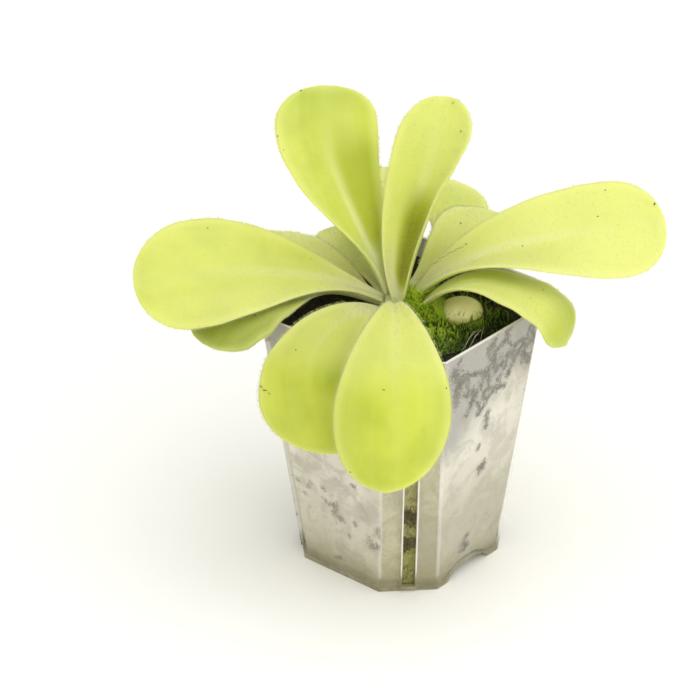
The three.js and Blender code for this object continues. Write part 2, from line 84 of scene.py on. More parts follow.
# Each leaf: seat (angle, height), heading, rise, roll, cup, length, width, widest, stalk, tip and sway, and
# then three numbers of its looks: how bright it is painted, partly its own tone and partly painted light and
# shade, how strong its pale midrib is, and how much its margin waves.
LEAVES = {
    "outer_leaf_1": ((213, 75), (218, 238, 248), (23, 13, 1, -23, -44), (0, -12), (60, 0, -20),
        55, 31, 0.72, 3, 2.2, 0, -0.6, 0.3, 1.6),
    "outer_leaf_2": ((161, 75), (156, 146), (24, 9, 3, -1, -4), (0, 0), (60, 10, -10),
        40, 18, 0.7, 2, 2.2, 0, 0.6, 0.5, 0.5),
    "outer_leaf_3": ((4, 72.9), (11, 24, 12), (45, 38, -3, -23, -90), (7, 2), (60, 8, -14),
        57, 19.5, 0.85, 2.1, 2.2, 0, -0.18, 0.35, 0.7),
    "outer_leaf_4": ((263, 74.6), (283.5, 274.5, 305.5), (29.5, 9, -19, -85, -88), (-3.5, -7), (59, -20, -12),
        67, 30.2, 0.81, 1.5, 2.2, 8.5, 0.0, 0.4, 0.5),
    "outer_leaf_5": ((100, 74.9), (86, 112, 178), (26, 15, 12, 9, 6), (0, 0), (60, 10, -10),
        57, 19, 0.8, 3.4, 2.2, 0, 0.0, 0.5, 0.4),
    "outer_leaf_6": ((188, 73.1), (188, 182), (36, 20, 6, -4, -10), (0, 0), (60, 10, -10),
        50, 19, 0.7, 1.8, 2.2, 0, 0.45, 0.6, 0.4),
    "outer_leaf_7": ((141, 76.9), (137, 133), (40, 20, 8, -2, -6), (0, 0), (60, 10, -10),
        61, 24, 0.7, 2.2, 2.2, 0, 0.2, 0.5, 0.4),
    "middle_leaf_1": ((313, 75), (310, 311), (42, 15, -18, -75, -88), (0, 0), (60, -15, -10),
        82, 30.5, 0.74, 2.9, 2.2, -2.5, 0.1, 0.35, 0.4),
    "middle_leaf_2": ((235, 76.9), (226, 221), (30, 15, 4, -4, -10), (-30, -36), (70, 15, -5),
        69, 33.5, 0.75, 2, 2.2, 0, 0.14, 0.5, 0.5),
    "middle_leaf_3": ((26, 75.4), (40, 43), (50, 30, 12, 5, 1), (0, 36), (70, 20, 5),
        75, 32, 0.78, 1.3, 2.2, 0, 0.34, 0.9, 0.4),
    "middle_leaf_4": ((73, 76.7), (73, 85), (26, 30, 14, -6, -12), (-4, 7), (62, 33, -6),
        46, 26.8, 0.69, 2.1, 2.2, 0, 0.3, 0.5, 0.6),
    "inner_leaf_1": ((120, 78.9), (138, 132), (60, 38, 20, 8, 0), (0, 0), (60, 10, -10),
        38, 16, 0.7, 1.8, 2.2, 0, 0.2, 0.5, 0.4),
    "inner_leaf_2": ((250, 79), (192, 172, 128), (68, 58, 54, 52, 50), (0, -5), (80, 20, 5),
        60, 28, 0.77, 1.15, 2.8, -1.5, -0.15, 1.0, 0.5),
    "inner_leaf_3": ((335, 77.1), (109, 91, 127), (83, 67, 65, 51, 45), (-3, -1), (90, 60, 30),
        58, 22.3, 0.72, 0.85, 2.2, 0, 0.3, 1.0, 0.5),
}
KEYS = ("seat", "heading", "rise", "roll", "cup", "length", "width", "widest", "stalk", "tip", "sway",
        "tone", "rib", "wave")

# Painted shade in the channel beside the midrib of a channelled leaf, a darker green where the fold gets less
# light: how much, the two ends of it across the leaf, how soft each of them is, and from which share along
# the leaf to which.
PAINTED_CHANNEL_SHADE = {"inner_leaf_3": (0.74, -0.93, 0.02, 0.06, 0.5, 0.04, 0.6),
          "inner_leaf_2": (0.34, -0.75, -0.2, 0.3, 0.3, 0.15, 0.85),
          "middle_leaf_3": (0.13, -0.7, -0.3, 0.3, 0.3, 0.2, 0.8),
          "outer_leaf_3": (0.28, 0.3, 0.8, 0.5, 0.3, 0.05, 0.8),
          "outer_leaf_4": (0.15, -0.6, 0.6, 0.3, 0.3, 0.2, 0.8)}
PAINTED_CHANNEL_SHADE_ELSEWHERE = (0.06, -0.6, 0.6, 0.3, 0.3, 0.1, 0.8)

# Grit and midges on each leaf, and a crease on one leaf drawn as a dark line of painted shade: share along
# it, share across it, size, how drawn out, and how far it is turned from the leaf's own direction.
CAUGHT_AND_CREASE_SHADE = (
    ("outer_leaf_4", ((0.735, -0.93, 0.16, 3.6, 60), (0.744, -0.84, 0.15, 4.2, 100),
        (0.752, -0.75, 0.14, 4.0, 75), (0.747, -0.88, 0.12, 3.5, 20), (0.939, 0.27, 0.28, 1.4, 40),
        (0.567, -0.37, 0.18, 1.2, 0))),
    ("middle_leaf_1", ((0.658, -0.17, 0.12, 3.4, 80), (0.651, 0.93, 0.20, 1.3, 0),
        (0.93, -0.9, 0.18, 1.3, 30))),
    ("middle_leaf_3", ((0.965, 0.8, 0.26, 1.6, 60), (0.799, 0.8, 0.16, 1.3, 0))),
    ("inner_leaf_2", ((0.974, 0.9, 0.22, 1.4, 45), (0.785, 0.97, 0.18, 1.3, 0), (0.728, 0.93, 0.14, 1.2, 0))),
    ("inner_leaf_3", ((0.827, -0.70, 0.18, 1.5, 20), (0.960, -0.60, 0.16, 1.2, 0))),
    ("outer_leaf_3", ((0.728, 0.47, 0.18, 1.4, 0), (0.70, -0.2, 0.14, 1.2, 0))),
    # The long thin lumps on this leaf draw its crease as a dark line, painted shade of the fold; the last is
    # a speck.
    ("middle_leaf_3", ((0.170, 0.93, 0.05, 32, -14), (0.200, 0.87, 0.05, 36, -14),
        (0.230, 0.78, 0.05, 36, -13), (0.260, 0.70, 0.05, 32, -12), (0.290, 0.66, 0.16, 1.8, 0))),
    ("middle_leaf_2", ((0.70, -0.80, 0.15, 1.3, 0),)),
    ("outer_leaf_5", ((0.6, 0.3, 0.2, 1.5, 30),)),
    ("outer_leaf_7", ((0.7, -0.4, 0.2, 1.5, 60),)),
    ("middle_leaf_4", ((0.6, 0.5, 0.2, 1.4, 90),)),
    ("outer_leaf_1", ((0.7, 0.5, 0.2, 1.6, 10),)),
)

# Marks on the pot's inner face: full width, and then across the face and height for each of its points.
# Runs of wet peat in the upper corner of the +X face, seen through the plastic.
RUNS = (
    (1.04, 17.7, 70.9, 18.6, 68.6, 19.8, 65.5, 20.0, 63.2), (0.80, 16.7, 71.7, 15.9, 70.1),
    (0.96, 16.2, 68.4, 13.3, 69.3, 9.9, 68.8, 7.9, 67.4, 6.8, 66.7),
    (1.76, 17.4, 66.7, 15.7, 66.4, 15.1, 64.4, 17.0, 61.5, 17.8, 60.6),
    (1.60, 14.3, 67.6, 13.1, 65.9, 12.2, 65.6), (0.96, 19.7, 63.7, 18.6, 62.5, 17.5, 61.1),
    (1.04, 7.2, 75.2, 5.8, 74.7, 6.6, 72.4, 4.9, 72.2, 2.5, 71.0, 0.9, 70.5),
    (0.88, 1.0, 74.8, -0.6, 73.9, -1.8, 72.9, -0.8, 70.3, -0.1, 68.8),
    (1.28, 0.4, 73.2, 1.0, 70.7, 1.7, 68.2, 1.8, 66.3, 2.8, 64.3),
    (1.20, 4.0, 67.4, 5.2, 65.4, 4.0, 64.7, 2.5, 66.3), (0.80, 10.0, 68.1, 9.4, 66.5, 7.6, 66.6, 7.0, 65.3),
    (1.12, 9.9, 66.3, 10.9, 64.0, 9.8, 62.2, 8.8, 60.2), (0.96, 7.0, 65.3, 7.2, 63.9, 6.4, 63.5),
    (0.80, 1.3, 65.2, -0.9, 65.6, -4.5, 66.5, -7.6, 67.3, -11.7, 68.7),
    (1.76, -0.5, 65.7, -1.8, 64.6, -2.7, 63.8), (0.96, 0.2, 64.1, 0.3, 62.2, 0.4, 60.6, 0.2, 59.1),
    (0.84, 0.2, 59.3, 3.0, 58.4, 5.2, 57.9, 7.8, 57.1), (0.88, 2.2, 57.8, 4.4, 57.4, 5.7, 57.5),
    (0.80, 5.3, 61.5, 4.3, 60.8, 5.3, 59.6),
    (0.90, 0.2, 59.1, -1.5, 59.2, -1.6, 57.8, 0.3, 55.8, -0.7, 54.3, -2.2, 53.1, -3.1, 52.9),
    (0.80, 1.1, 56.8, 0.0, 55.3, -1.1, 54.2),
    (1.04, -3.3, 62.5, -3.6, 61.1, -5.2, 60.2, -6.3, 59.4, -6.9, 57.4, -8.0, 55.0),
    (1.28, -7.0, 61.9, -5.7, 59.8, -5.8, 58.4),
    (0.96, -11.2, 68.5, -9.2, 66.4, -9.4, 65.2, -11.7, 67.3, -13.1, 68.4),
    (2.00, -15.9, 71.2, -14.0, 68.5, -13.0, 66.2, -13.1, 64.3, -14.2, 63.4),
    (1.28, -14.1, 65.4, -13.2, 62.2, -13.5, 60.3), (0.70, -10.2, 65.6, -8.5, 62.9, -8.7, 60.8, -10.6, 62.0),
    (0.70, -3.8, 57.0, -2.9, 54.7, -3.5, 53.4), (0.96, 1.7, 51.2, 0.9, 50.1, 1.6, 48.8, 1.2, 47.0),
    (0.70, -13.8, 74.6, -14.6, 73.7), (1.5, 20.0, 51.0, 19.8, 50.0), (0.80, -0.6, 41.1, -1.1, 40.3),
    (0.70, 7.1, 72.2, 8.1, 70.4, 9.0, 69.1), (1.40, 2.5, 33.8, 1.2, 33.3),
    (1.10, -1.1, 11.8, -2.4, 10.0, -1.0, 7.9, -3.3, 7.8))
# Flecks and rings of grit on the -Y face.
FLECKS = (
    (0.9, -5.1, 27.0, -4.6, 26.8), (1.2, -1.2, 22.5, -0.7, 22.9, -1.2, 20.2, -0.2, 18.9, 1.2, 19.1),
    (0.9, -5.1, 23.6, -4.1, 22.3, -1.2, 22.5),
    (1.0, 14.3, 20.5, 16.9, 22.2, 18.8, 20.0, 17.6, 18.3, 15.6, 18.1, 14.4, 19.0),
    (1.1, 10.6, 16.5, 11.1, 13.8, 13.8, 15.0, 16.4, 15.6), (2.0, 15.6, 5.2, 17.5, 6.7),
    (1.1, 22.3, 10.1, 23.0, 8.9), (0.9, -1.8, 4.3, -0.7, 5.1), (0.7, -14.5, 26.0, -13.8, 25.6),
    (0.8, -9.6, 27.1, -10.3, 25.1), (0.7, -11.9, 22.4, -11.4, 22.2), (0.8, 6.3, 32.5, 6.6, 32.3),
    (0.7, 3.2, 14.1, 3.4, 13.9), (0.7, 5.8, 38.6, 6.0, 38.5), (0.8, 5.6, 19.6, 5.8, 18.8))
# Soft grey patches on each of them.
PATCHES_X = (
    (4.5, -11, 64, -6, 58), (5.0, 6, 66, 16, 62), (3.0, 6.8, 16.4, 4.2, 12.3, 3.9, 10.5),
    (3.5, 12.4, 11.2, 11.3, 8.7), (5.0, -4, 9, 3, 7), (3.0, 2.5, 34, 1, 32))
PATCHES_Y = (
    (6.0, -12.5, 31.9, -6.1, 34.0), (5.0, -3.6, 27.9, 2.9, 31.0), (7.0, 5.2, 22.4, 12.2, 26.3),
    (4.0, 11.9, 23.3, 14.2, 26.2), (5.0, 13.1, 12.7, 16.2, 13.5), (4.0, -1, 21, 1, 19), (4.0, 14, 20, 18, 19))
# The faces that carry them: axis, side, which way across, strokes, how wide and how strong they are drawn,
# patches, and how the border between peat and stuffing slants and drops.
MARKED_FACES = (
    (0, 1, 1, RUNS, 2.2, 1.0, PATCHES_X, 0.7, 1.5), (1, -1, 1, FLECKS, 1.9, 0.8, PATCHES_Y, 0.0, 0.0),
    (0, -1, -1, FLECKS, 1.9, 0.8, PATCHES_Y, 0.0, 0.0), (1, 1, -1, RUNS, 2.2, 1.0, PATCHES_X, -0.5, 1.5))

# Long pale threads that lie across the moss and the peat, each from one plan point to another.
THREADS = (
    (23.6, 5.4, 27.7, -9.5), (23.5, 3.0, 27.0, -6.5), (25.5, 1.8, 27.0, -3.5), (23.8, 7.0, 27.5, -0.3),
    (23.2, 9.5, 16.8, 17.8), (20.3, 16.2, 24.8, 12.3), (22.7, 16.7, 26.3, 14.4), (21.2, -3.4, 23.3, -9.0),
    (16.6, 15.3, 20.5, 8.7), (24.2, 6.2, 28.2, -7.0),
)


# ---- Node helpers ----

class Signal:
    """An output in a node tree. Plain arithmetic on it makes the math nodes."""

    def __init__(self, tree, socket):
        self.tree, self.socket = tree, socket

    def __add__(self, other):
        return self.tree.math("ADD", self, other)

    def __sub__(self, other):
        return self.tree.math("SUBTRACT", self, other)

    def __rsub__(self, other):
        return self.tree.math("SUBTRACT", other, self)

    def __mul__(self, other):
        return self.tree.math("MULTIPLY", self, other)

    def __abs__(self):
        return self.tree.math("ABSOLUTE", self)

    def span(self, low, high, to_low=0.0, to_high=1.0):
        """A smooth step from to_low at low to to_high at high. Low may be above high."""
        return self.tree.make("MapRange", {"Value": self, "From Min": low, "From Max": high, "To Min": to_low,
                                           "To Max": to_high}, interpolation_type="SMOOTHSTEP")


class Nodes:
    """A material's node tree, with short calls for the nodes used here."""

    def __init__(self, name):
        self.material = bpy.data.materials.new(name)
        self.material.use_nodes = True
        self.tree = self.material.node_tree
        self.tree.nodes.clear()

    def make(self, kind, inputs=None, output=0, **settings):
        node = self.tree.nodes.new("ShaderNode" + kind)
        for name, value in settings.items():
            setattr(node, name, value)
        for name, value in (inputs or {}).items():
            socket = node.inputs[name]
            if isinstance(value, Signal):
                self.tree.links.new(value.socket, socket)
            else:
                socket.default_value = (*value, 1) if socket.type == "RGBA" else value
        return Signal(self, node.outputs[output])

    def attribute(self, name):
        return self.make("Attribute", output="Fac", attribute_name=name)

    def position(self):
        return self.make("TexCoord", output="Object")

    def axis(self, letter):
        """The point's coordinate along an axis, in millimetres."""
        return self.make("SeparateXYZ", {"Vector": self.position()}, letter) * (1 / MM)

    def math(self, operation, a, b=0.0):
        return self.make("Math", {0: a, 1: b}, operation=operation)

    def noise(self, scale, detail=4.0, roughness=0.55, distortion=0.0, vector=None):
        return self.make("TexNoise", {"Scale": scale, "Detail": detail, "Roughness": roughness,
                                      "Distortion": distortion, "Vector": vector or self.position()}, "Fac")

    def cells(self, scale):
        return self.make("TexVoronoi", {"Scale": scale, "Vector": self.position()}, "Distance")

    def mix(self, factor, a, b):
        """Colour a where the factor is 0 and b where it is 1."""
        return self.make("Mix", {0: factor, 6: a, 7: b}, 2, data_type="RGBA")

    def coats(self, colour, *coats):
        """A colour with others laid over it in turn, each with its cover."""
        for over, cover in coats:
            colour = self.mix(cover, colour, over)
        return colour

    def bump(self, height, strength, distance):
        return self.make("Bump", {"Height": height, "Strength": strength, "Distance": distance * MM})

    def skin(self, colour, roughness, **inputs):
        """A Principled surface. An underscore in an input's name stands for a space."""
        named = {name.replace("_", " "): value for name, value in inputs.items()}
        return self.make("BsdfPrincipled", {"Base Color": colour, "Roughness": roughness, **named})

    def bsdf(self, kind, colour, **inputs):
        return self.make("Bsdf" + kind, {"Color": colour, **inputs})

    def blend(self, share, first, second):
        return self.make("MixShader", {0: share, 1: first, 2: second})

    def surface(self, shader):
        output = self.tree.nodes.new("ShaderNodeOutputMaterial")
        self.tree.links.new(shader.socket, output.inputs["Surface"])
        return self.material


# ---- Materials ----

def leaf_material():
    """Thin fleshy leaf: lime blade, pale stalk and midrib, a margin painted pale as glowing light, painted
    shade in the channel, a painted sheen on faces turned up, faint veins and a few specks.
    """
    n = Nodes("leaf_flesh")
    share, rib_mm, edge_mm, across, upper, tone, rib_strength, deeper, lift = map(n.attribute, (
        "share", "rib_mm", "edge_mm", "across_mm", "upper", "tone", "rib_strength", "deeper", "lift"))
    lengthwise = n.make("CombineXYZ", {"X": across, "Y": share * 2.5, "Z": tone * 30.0})
    blade = n.coats(
        n.mix(n.noise(60, 3, 0.5).span(0.3, 0.7), (0.49, 0.57, 0.030), (0.64, 0.70, 0.068)),
        # Some leaves are painted paler and some duller: partly their own colour, partly painted light on the
        # back leaves in the tallest leaf's shadow and painted shade on the low leaf beneath another.
        ((0.80, 0.83, 0.27), tone.span(0.0, 0.6)),
        ((0.27, 0.33, 0.012), tone.span(0.0, -0.8)),
        # Soft bands run along the blade, with finer veins between them.
        ((0.76, 0.79, 0.24), n.noise(0.16, 2, 0.5, 0.6, lengthwise).span(0.36, 0.64) * 0.20),
        ((0.74, 0.78, 0.30), n.noise(1.6, 2, 0.5, 0.3, lengthwise).span(0.56, 0.7) * 0.06),
        # Faces turned to the sky are painted paler, a painted sheen of the light from above, less of it on
        # the duller leaves.
        ((0.84, 0.86, 0.34), lift.span(0.35, 1.0) * tone.span(-0.8, -0.2, 0.25, 1.0) * 0.42),
        # The midrib fades towards the tip, and the stalk is pale all round.
        ((0.82, 0.84, 0.44), rib_mm.span(2.4, 0.1) * share.span(0.92, 0.12) * rib_strength * 0.85),
        ((0.75, 0.74, 0.43), share.span(0.36, 0.02) * 0.9),
        # Painted shade in the channel beside the midrib: a darker green, then dark olive where it is most
        # shaded.
        ((0.44, 0.49, 0.016), deeper.span(0.0, 0.5)),
        ((0.24, 0.25, 0.006), deeper.span(0.3, 1.0, 0.0, 0.95)),
        # The thin margin is painted paler than the blade, a painted glow of light shining through it; the
        # underside is duller.
        ((0.86, 0.88, 0.38), edge_mm.span(3.4, 0.0) * share.span(0.1, 0.4) * 0.34),
        ((0.50, 0.57, 0.13), (1.0 - upper) * 0.35),
        # A few dark specks of dust.
        ((0.10, 0.09, 0.02), n.cells(210).span(0.075, 0.045) * n.noise(420, 0, 0.5).span(0.66, 0.70)))
    normal = n.bump(n.noise(2600, 2, 0.6) * 0.25 + n.noise(330, 3, 0.5), 0.35, 0.3)
    skin = n.skin(blade, 0.46, Normal=normal, Subsurface_Weight=0.75, Subsurface_Scale=1.6 * MM,
                  Subsurface_Radius=(1.0, 1.1, 0.35), Specular_IOR_Level=0.34, Sheen_Weight=0.12,
                  Sheen_Roughness=0.4, Sheen_Tint=(0.95, 1.0, 0.8))
    # Some light passes straight through the thin blade.
    return n.surface(n.blend(0.15, skin, n.bsdf("Translucent", blade, Normal=normal)))


def hair_material():
    """The glandular hairs: clear, wet and nearly colourless."""
    n = Nodes("leaf_hair")
    tone = n.mix(n.noise(900, 1), (0.84, 0.88, 0.42), (0.96, 0.97, 0.70))
    body = n.blend(0.45, n.skin(tone, 0.2, Specular_IOR_Level=0.6), n.bsdf("Translucent", tone))
    return n.surface(n.blend(0.68, n.bsdf("Transparent", (0.99, 1.0, 0.95)), body))


def caught_and_crease_shade_material():
    """Grit and dead midges, and a crease painted dark as shade: dark, with browner parts."""
    n = Nodes("midge_and_crease_shade")
    return n.surface(n.skin(n.mix(n.noise(1500, 2), (0.035, 0.03, 0.015), (0.16, 0.13, 0.05)), 0.6))


def crown_material():
    """The short stem is pale green, and its roots are browner."""
    n = Nodes("crown_flesh")
    tone = n.coats(n.mix(n.noise(500, 3), (0.52, 0.52, 0.24), (0.70, 0.70, 0.42)),
                   ((0.62, 0.56, 0.42), n.axis("Z").span(70, 66)))
    return n.surface(n.skin(tone, 0.5, Subsurface_Weight=0.4, Subsurface_Scale=1 * MM,
                            Normal=n.bump(n.noise(900), 0.3, 0.3)))


def moss_material():
    """Moss shoots: painted dark at the foot as shade, painted bright yellow-green where the light reaches.
    Long threads are pale.
    """
    n = Nodes("moss_green")
    height, tint = n.attribute("height"), n.attribute("tint")
    # Each shoot is painted darker towards its foot as shade and brighter towards its tip as light.
    low = n.mix(tint, (0.018, 0.045, 0.003), (0.24, 0.40, 0.012))
    high = n.coats(n.mix(tint.span(0.0, 0.5), (0.07, 0.15, 0.008), (0.30, 0.56, 0.010)),
                   ((0.74, 0.92, 0.055), tint.span(0.5, 1.0)))
    tone = n.coats(low, (high, height.span(0.05, 0.9)), ((0.88, 0.92, 0.56), tint.span(1.0, 1.5)))
    return n.surface(n.blend(0.35, n.skin(tone, 0.5, Specular_IOR_Level=0.3), n.bsdf("Translucent", tone)))


def cushion_material():
    """The mound under the shoots: green beside the crown and at its tips, bare and dark towards the rim."""
    n = Nodes("moss_cushion")
    grain = n.noise(1500, 5, 0.7)
    near = n.axis("X") + n.axis("Y")
    green = n.mix(near.span(26, 6), (0.020, 0.022, 0.007), (0.22, 0.40, 0.012))
    tone = n.coats((0.010, 0.014, 0.004), (green, grain.span(0.35, 0.65)),
                   ((0.46, 0.62, 0.03), n.axis("Z").span(73.6, 75.4) * near.span(34, 22) * 0.7))
    return n.surface(n.skin(tone, 0.9, Normal=n.bump(grain, 0.8, 0.8)))


def peat_material():
    """Damp peat: near black, with brown fibres and a few pale grains."""
    n = Nodes("peat_crumb")
    grain = n.noise(900, 6, 0.7)
    tone = n.coats((0.014, 0.011, 0.006), ((0.075, 0.056, 0.026), grain.span(0.4, 0.75)),
                   ((0.34, 0.28, 0.18), n.cells(700).span(0.16, 0.1) * n.noise(350, 1).span(0.62, 0.68)))
    return n.surface(n.skin(tone, 0.75, Specular_IOR_Level=0.35, Normal=n.bump(grain, 0.9, 1)))


def pebble_material():
    """A smooth cream pebble with paler and greener stains."""
    n = Nodes("pebble_stone")
    tone = n.coats((1.0, 0.95, 0.46), ((0.96, 0.89, 0.34), n.noise(220, 5, 0.6, 0.8).span(0.35, 0.7)),
                   ((1.0, 0.98, 0.62), n.noise(700, 4, 0.7).span(0.55, 0.75) * 0.6),
                   ((0.84, 0.78, 0.12), n.axis("Z").span(76.2, 72.8) * 0.5))
    return n.surface(n.skin(tone, 0.55, Subsurface_Weight=0.1, Subsurface_Scale=1 * MM,
                            Normal=n.bump(n.noise(1200, 5, 0.6), 0.35, 0.4)))


def sphagnum_material():
    """Long-fibre moss and grit pressed against the wall: cream, with olive and grey patches and dark bits."""
    n = Nodes("sphagnum_fibre")
    z = n.axis("Z")
    fibre = n.noise(330, 5, 0.7, 2.5)
    # In the open slots it is olive, with two dark plugs of peat.
    slot = abs(abs(n.axis("X")) - abs(n.axis("Y"))).span(4.2, 2.4)
    wobble = z + (n.noise(420, 5, 0.7) - 0.5) * 13
    plug = n.math("MAXIMUM", wobble.span(29, 26.5) * wobble.span(21, 23.5),
                  wobble.span(19, 17) * wobble.span(12.5, 14.5))
    olive = n.coats((0.44, 0.41, 0.17), ((0.34, 0.34, 0.08), z.span(30, 8)),
                    ((0.085, 0.068, 0.02), plug * 0.92))
    tone = n.coats((0.70, 0.65, 0.50), ((0.36, 0.35, 0.24), n.noise(85, 4, 0.6, 0.6).span(0.38, 0.62)),
                   ((0.85, 0.80, 0.66), fibre.span(0.5, 0.68) * 0.6),
                   ((0.12, 0.09, 0.04), n.noise(170, 4, 0.65, 1.0).span(0.60, 0.68) * 0.75),
                   (olive, slot * 0.95), ((0.22, 0.23, 0.10), z.span(9, 1) * 0.5))
    return n.surface(n.skin(tone, 0.85, Normal=n.bump(fibre, 0.8, 1)))


def slot_fibre_material():
    n = Nodes("slot_fibre")
    tone = n.mix(n.attribute("tint").span(0.3, 0.7), (0.13, 0.105, 0.03), (0.47, 0.45, 0.19))
    return n.surface(n.skin(tone, 0.7))


def pot_inner_material():
    """The wall's inner face: fine droplets and film, with runs of wet peat, grit and grey patches."""
    n = Nodes("pot_fogged")
    z = n.axis("Z")
    sideness = abs(n.axis("X")) - abs(n.axis("Y"))
    on_x_face = sideness.span(-1, 1)
    cloud = n.noise(55, 4, 0.6, 0.4)
    level = z - n.attribute("slant") + (cloud - 0.5) * 22
    film = n.coats(
        (0.76, 0.72, 0.60), ((0.88, 0.84, 0.74), cloud.span(0.35, 0.65)),
        ((0.56, 0.53, 0.37), (z + cloud * 16).span(52, 24) * 0.62),
        # The cut corners are stained olive.
        ((0.46, 0.43, 0.25),
         abs(sideness).span(11.5, 10.5) * n.noise(190, 5, 0.65, 0.8).span(0.36, 0.62, 0.45, 0.95)),
        # The two X faces are painted a little darker, most of all near the rim and the foot: painted shade
        # against the lamp's stronger light on that side.
        ((0.30, 0.28, 0.20), on_x_face * abs(z - 43).span(8, 26, 0.10, 0.44)),
        # Cool and grey where dark peat lies behind it, cream where the stuffing does.
        ((0.43, 0.415, 0.38), level.span(50, 62)),
        # Grey patches and clouds, and brown blotches low down.
        ((0.40, 0.37, 0.29),
         (n.attribute("patch") + (n.noise(230, 7, 0.7, 0.8) - 0.55) * 2.2).span(0.25, 0.8) * 0.42),
        ((0.38, 0.355, 0.27), n.noise(120, 6, 0.65, 1.0).span(0.47, 0.62) * 0.40),
        ((0.20, 0.18, 0.11), n.noise(230, 5, 0.7, 1.2).span(0.58, 0.68) * z.span(34, 4) * 0.55),
        # A damp olive band with a ragged edge at the foot.
        ((0.34, 0.31, 0.16), (z + n.noise(110, 6, 0.65, 0.6) * -14).span(10, -7) * 0.75))
    # A run has a soft grey edge and a broken dark core, which is browner on the two Y faces.
    grime = n.attribute("grime")
    rough = n.noise(700, 4, 0.7, 0.5) + n.noise(1900, 3, 0.6) - 1.0
    mud = n.mix(n.noise(260, 4, 0.6).span(0.35, 0.65), (0.098, 0.091, 0.068), (0.20, 0.188, 0.150))
    mud = n.mix(on_x_face, (0.27, 0.215, 0.135), mud)
    veil = n.coats(
        film, ((0.305, 0.286, 0.240), (grime + rough * 1.2).span(0.12, 0.72) * 0.55),
        (mud, (grime + rough * 2.0).span(0.54, 0.80) * 0.85),
        ((0.12, 0.11, 0.07), n.cells(260).span(0.10, 0.05) * n.noise(300, 1).span(0.58, 0.64) * 0.6))
    fog = n.blend(0.06, n.bsdf("Diffuse", veil), n.bsdf("Translucent", veil))
    cover = n.noise(70, 3, 0.5).span(0.3, 0.7, 0.92, 0.985)
    return n.surface(n.blend(cover, n.bsdf("Transparent", (0.93, 0.93, 0.90)), fog))


def pot_outer_material():
    """The wall's outer face: clear, glossy plastic with handling marks, white along the lips of its slots."""
    n = Nodes("pot_clear")
    x, y, z = abs(n.axis("X")), abs(n.axis("Y")), n.axis("Z")
    from_middle = abs(x - y) * (1 / math.sqrt(2))
    lip = from_middle.span(SLOT_WIDTH / 2 + 0.55, SLOT_WIDTH / 2 + 0.3) * z.span(4, 9, 0.2, 0.7)
    scuff = n.noise(140, 5, 0.6, 1.5).span(0.52, 0.70).span(0.0, 1.0, 0.02, 0.09)
    # The edges of the cut corners are seen through more plastic and look milky, and the foot is stained.
    lean = (RIM_HALF - RIM_CUT - BASE_HALF + BASE_CUT) / POT_HEIGHT
    from_edge = abs(n.math("MINIMUM", x, y) - (z * lean + (BASE_HALF - BASE_CUT)))
    foot = z.span(6, 0.5, 0.0, 0.62)
    cover = lip
    for other in (scuff, from_edge.span(0.8, 0.2, 0.0, 0.22), foot):
        cover = n.math("MAXIMUM", cover, other)
    stain = n.mix(n.noise(180, 4, 0.6).span(0.35, 0.65), (0.30, 0.27, 0.14), (0.46, 0.42, 0.24))
    haze = n.bsdf("Diffuse", n.mix(foot.span(0.0, 0.2), (0.95, 0.94, 0.90), stain))
    body = n.blend(cover, n.bsdf("Transparent", (0.99, 0.99, 0.985)), haze)
    # Light that leaves the plastic from inside isn't mirrored, so its corners stay bright.
    mirror = n.make("Fresnel", {"IOR": 1.45}) * (1.0 - n.make("NewGeometry", output="Backfacing"))
    shine = n.bsdf("Glossy", (1, 1, 1), Roughness=n.noise(90, 3).span(0.3, 0.7, 0.12, 0.3))
    return n.surface(n.blend(mirror, body, shine))


def pot_edge_material():
    """Rim, slot lips and cut edges: the plastic seen end on, white and satin, stained at the foot."""
    n = Nodes("pot_edge")
    tone = n.coats(
        n.mix(n.noise(200, 4), (0.78, 0.75, 0.66), (0.92, 0.90, 0.83)),
        ((0.36, 0.33, 0.18), n.axis("Z").span(7, 1.5)),
        ((0.10, 0.085, 0.05), n.noise(150, 5, 0.6, 0.5).span(0.57, 0.66) * n.axis("X").span(5, -25) * 0.75))
    skin = n.skin(tone, 0.25, Subsurface_Weight=0.3, Subsurface_Scale=2 * MM)
    return n.surface(n.blend(0.88, n.bsdf("Transparent", (0.95, 0.95, 0.93)), skin))


def floor_material():
    n = Nodes("studio_floor")
    tone = n.mix(n.noise(6, 3), (0.975, 0.965, 0.925), (0.98, 0.972, 0.935))
    return n.surface(n.skin(tone, 0.9, Specular_IOR_Level=0.1))


# ---- Mesh helpers ----

def write(mesh, attributes):
    """Gives every point of a mesh its values."""
    for key, values in attributes.items():
        mesh.attributes.new(key, "FLOAT", "POINT").data.foreach_set("value", np.asarray(values, np.float32))


def linked(name, data):
    item = bpy.data.objects.new(name, data)
    bpy.context.scene.collection.objects.link(item)
    return item


def build(name, vertices, faces, material, smooth=True, **attributes):
    """A mesh object from points in millimetres, with its per-point attributes."""
    mesh = bpy.data.meshes.new(name)
    mesh.from_pydata((np.asarray(vertices) * MM).tolist(), [], faces)
    mesh.materials.append(material)
    write(mesh, attributes)
    mesh.polygons.foreach_set("use_smooth", np.full(len(mesh.polygons), smooth))
    mesh.update()
    return linked(name, mesh)


def copied(node, name, *materials):
    """A new object with a copy of a CAD node's mesh."""
    piece = linked(name, nodes[node].data.copy())
    piece.data.materials.clear()
    for material in materials:
        piece.data.materials.append(material)
    return piece


def settle(piece, node=None):
    """Every piece rides on the one body and may stand for a CAD node, which it then hides."""
    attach(piece, "root")
    if node:
        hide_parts(node)


def tree_of(names):
    """A search tree of CAD nodes' surfaces, in metres."""
    points, faces = [], []
    for name in names:
        mesh = nodes[name].data
        start = len(points)
        points.extend(v.co.copy() for v in mesh.vertices)
        faces.extend([start + k for k in polygon.vertices] for polygon in mesh.polygons)
    return BVHTree.FromPolygons(points, faces)


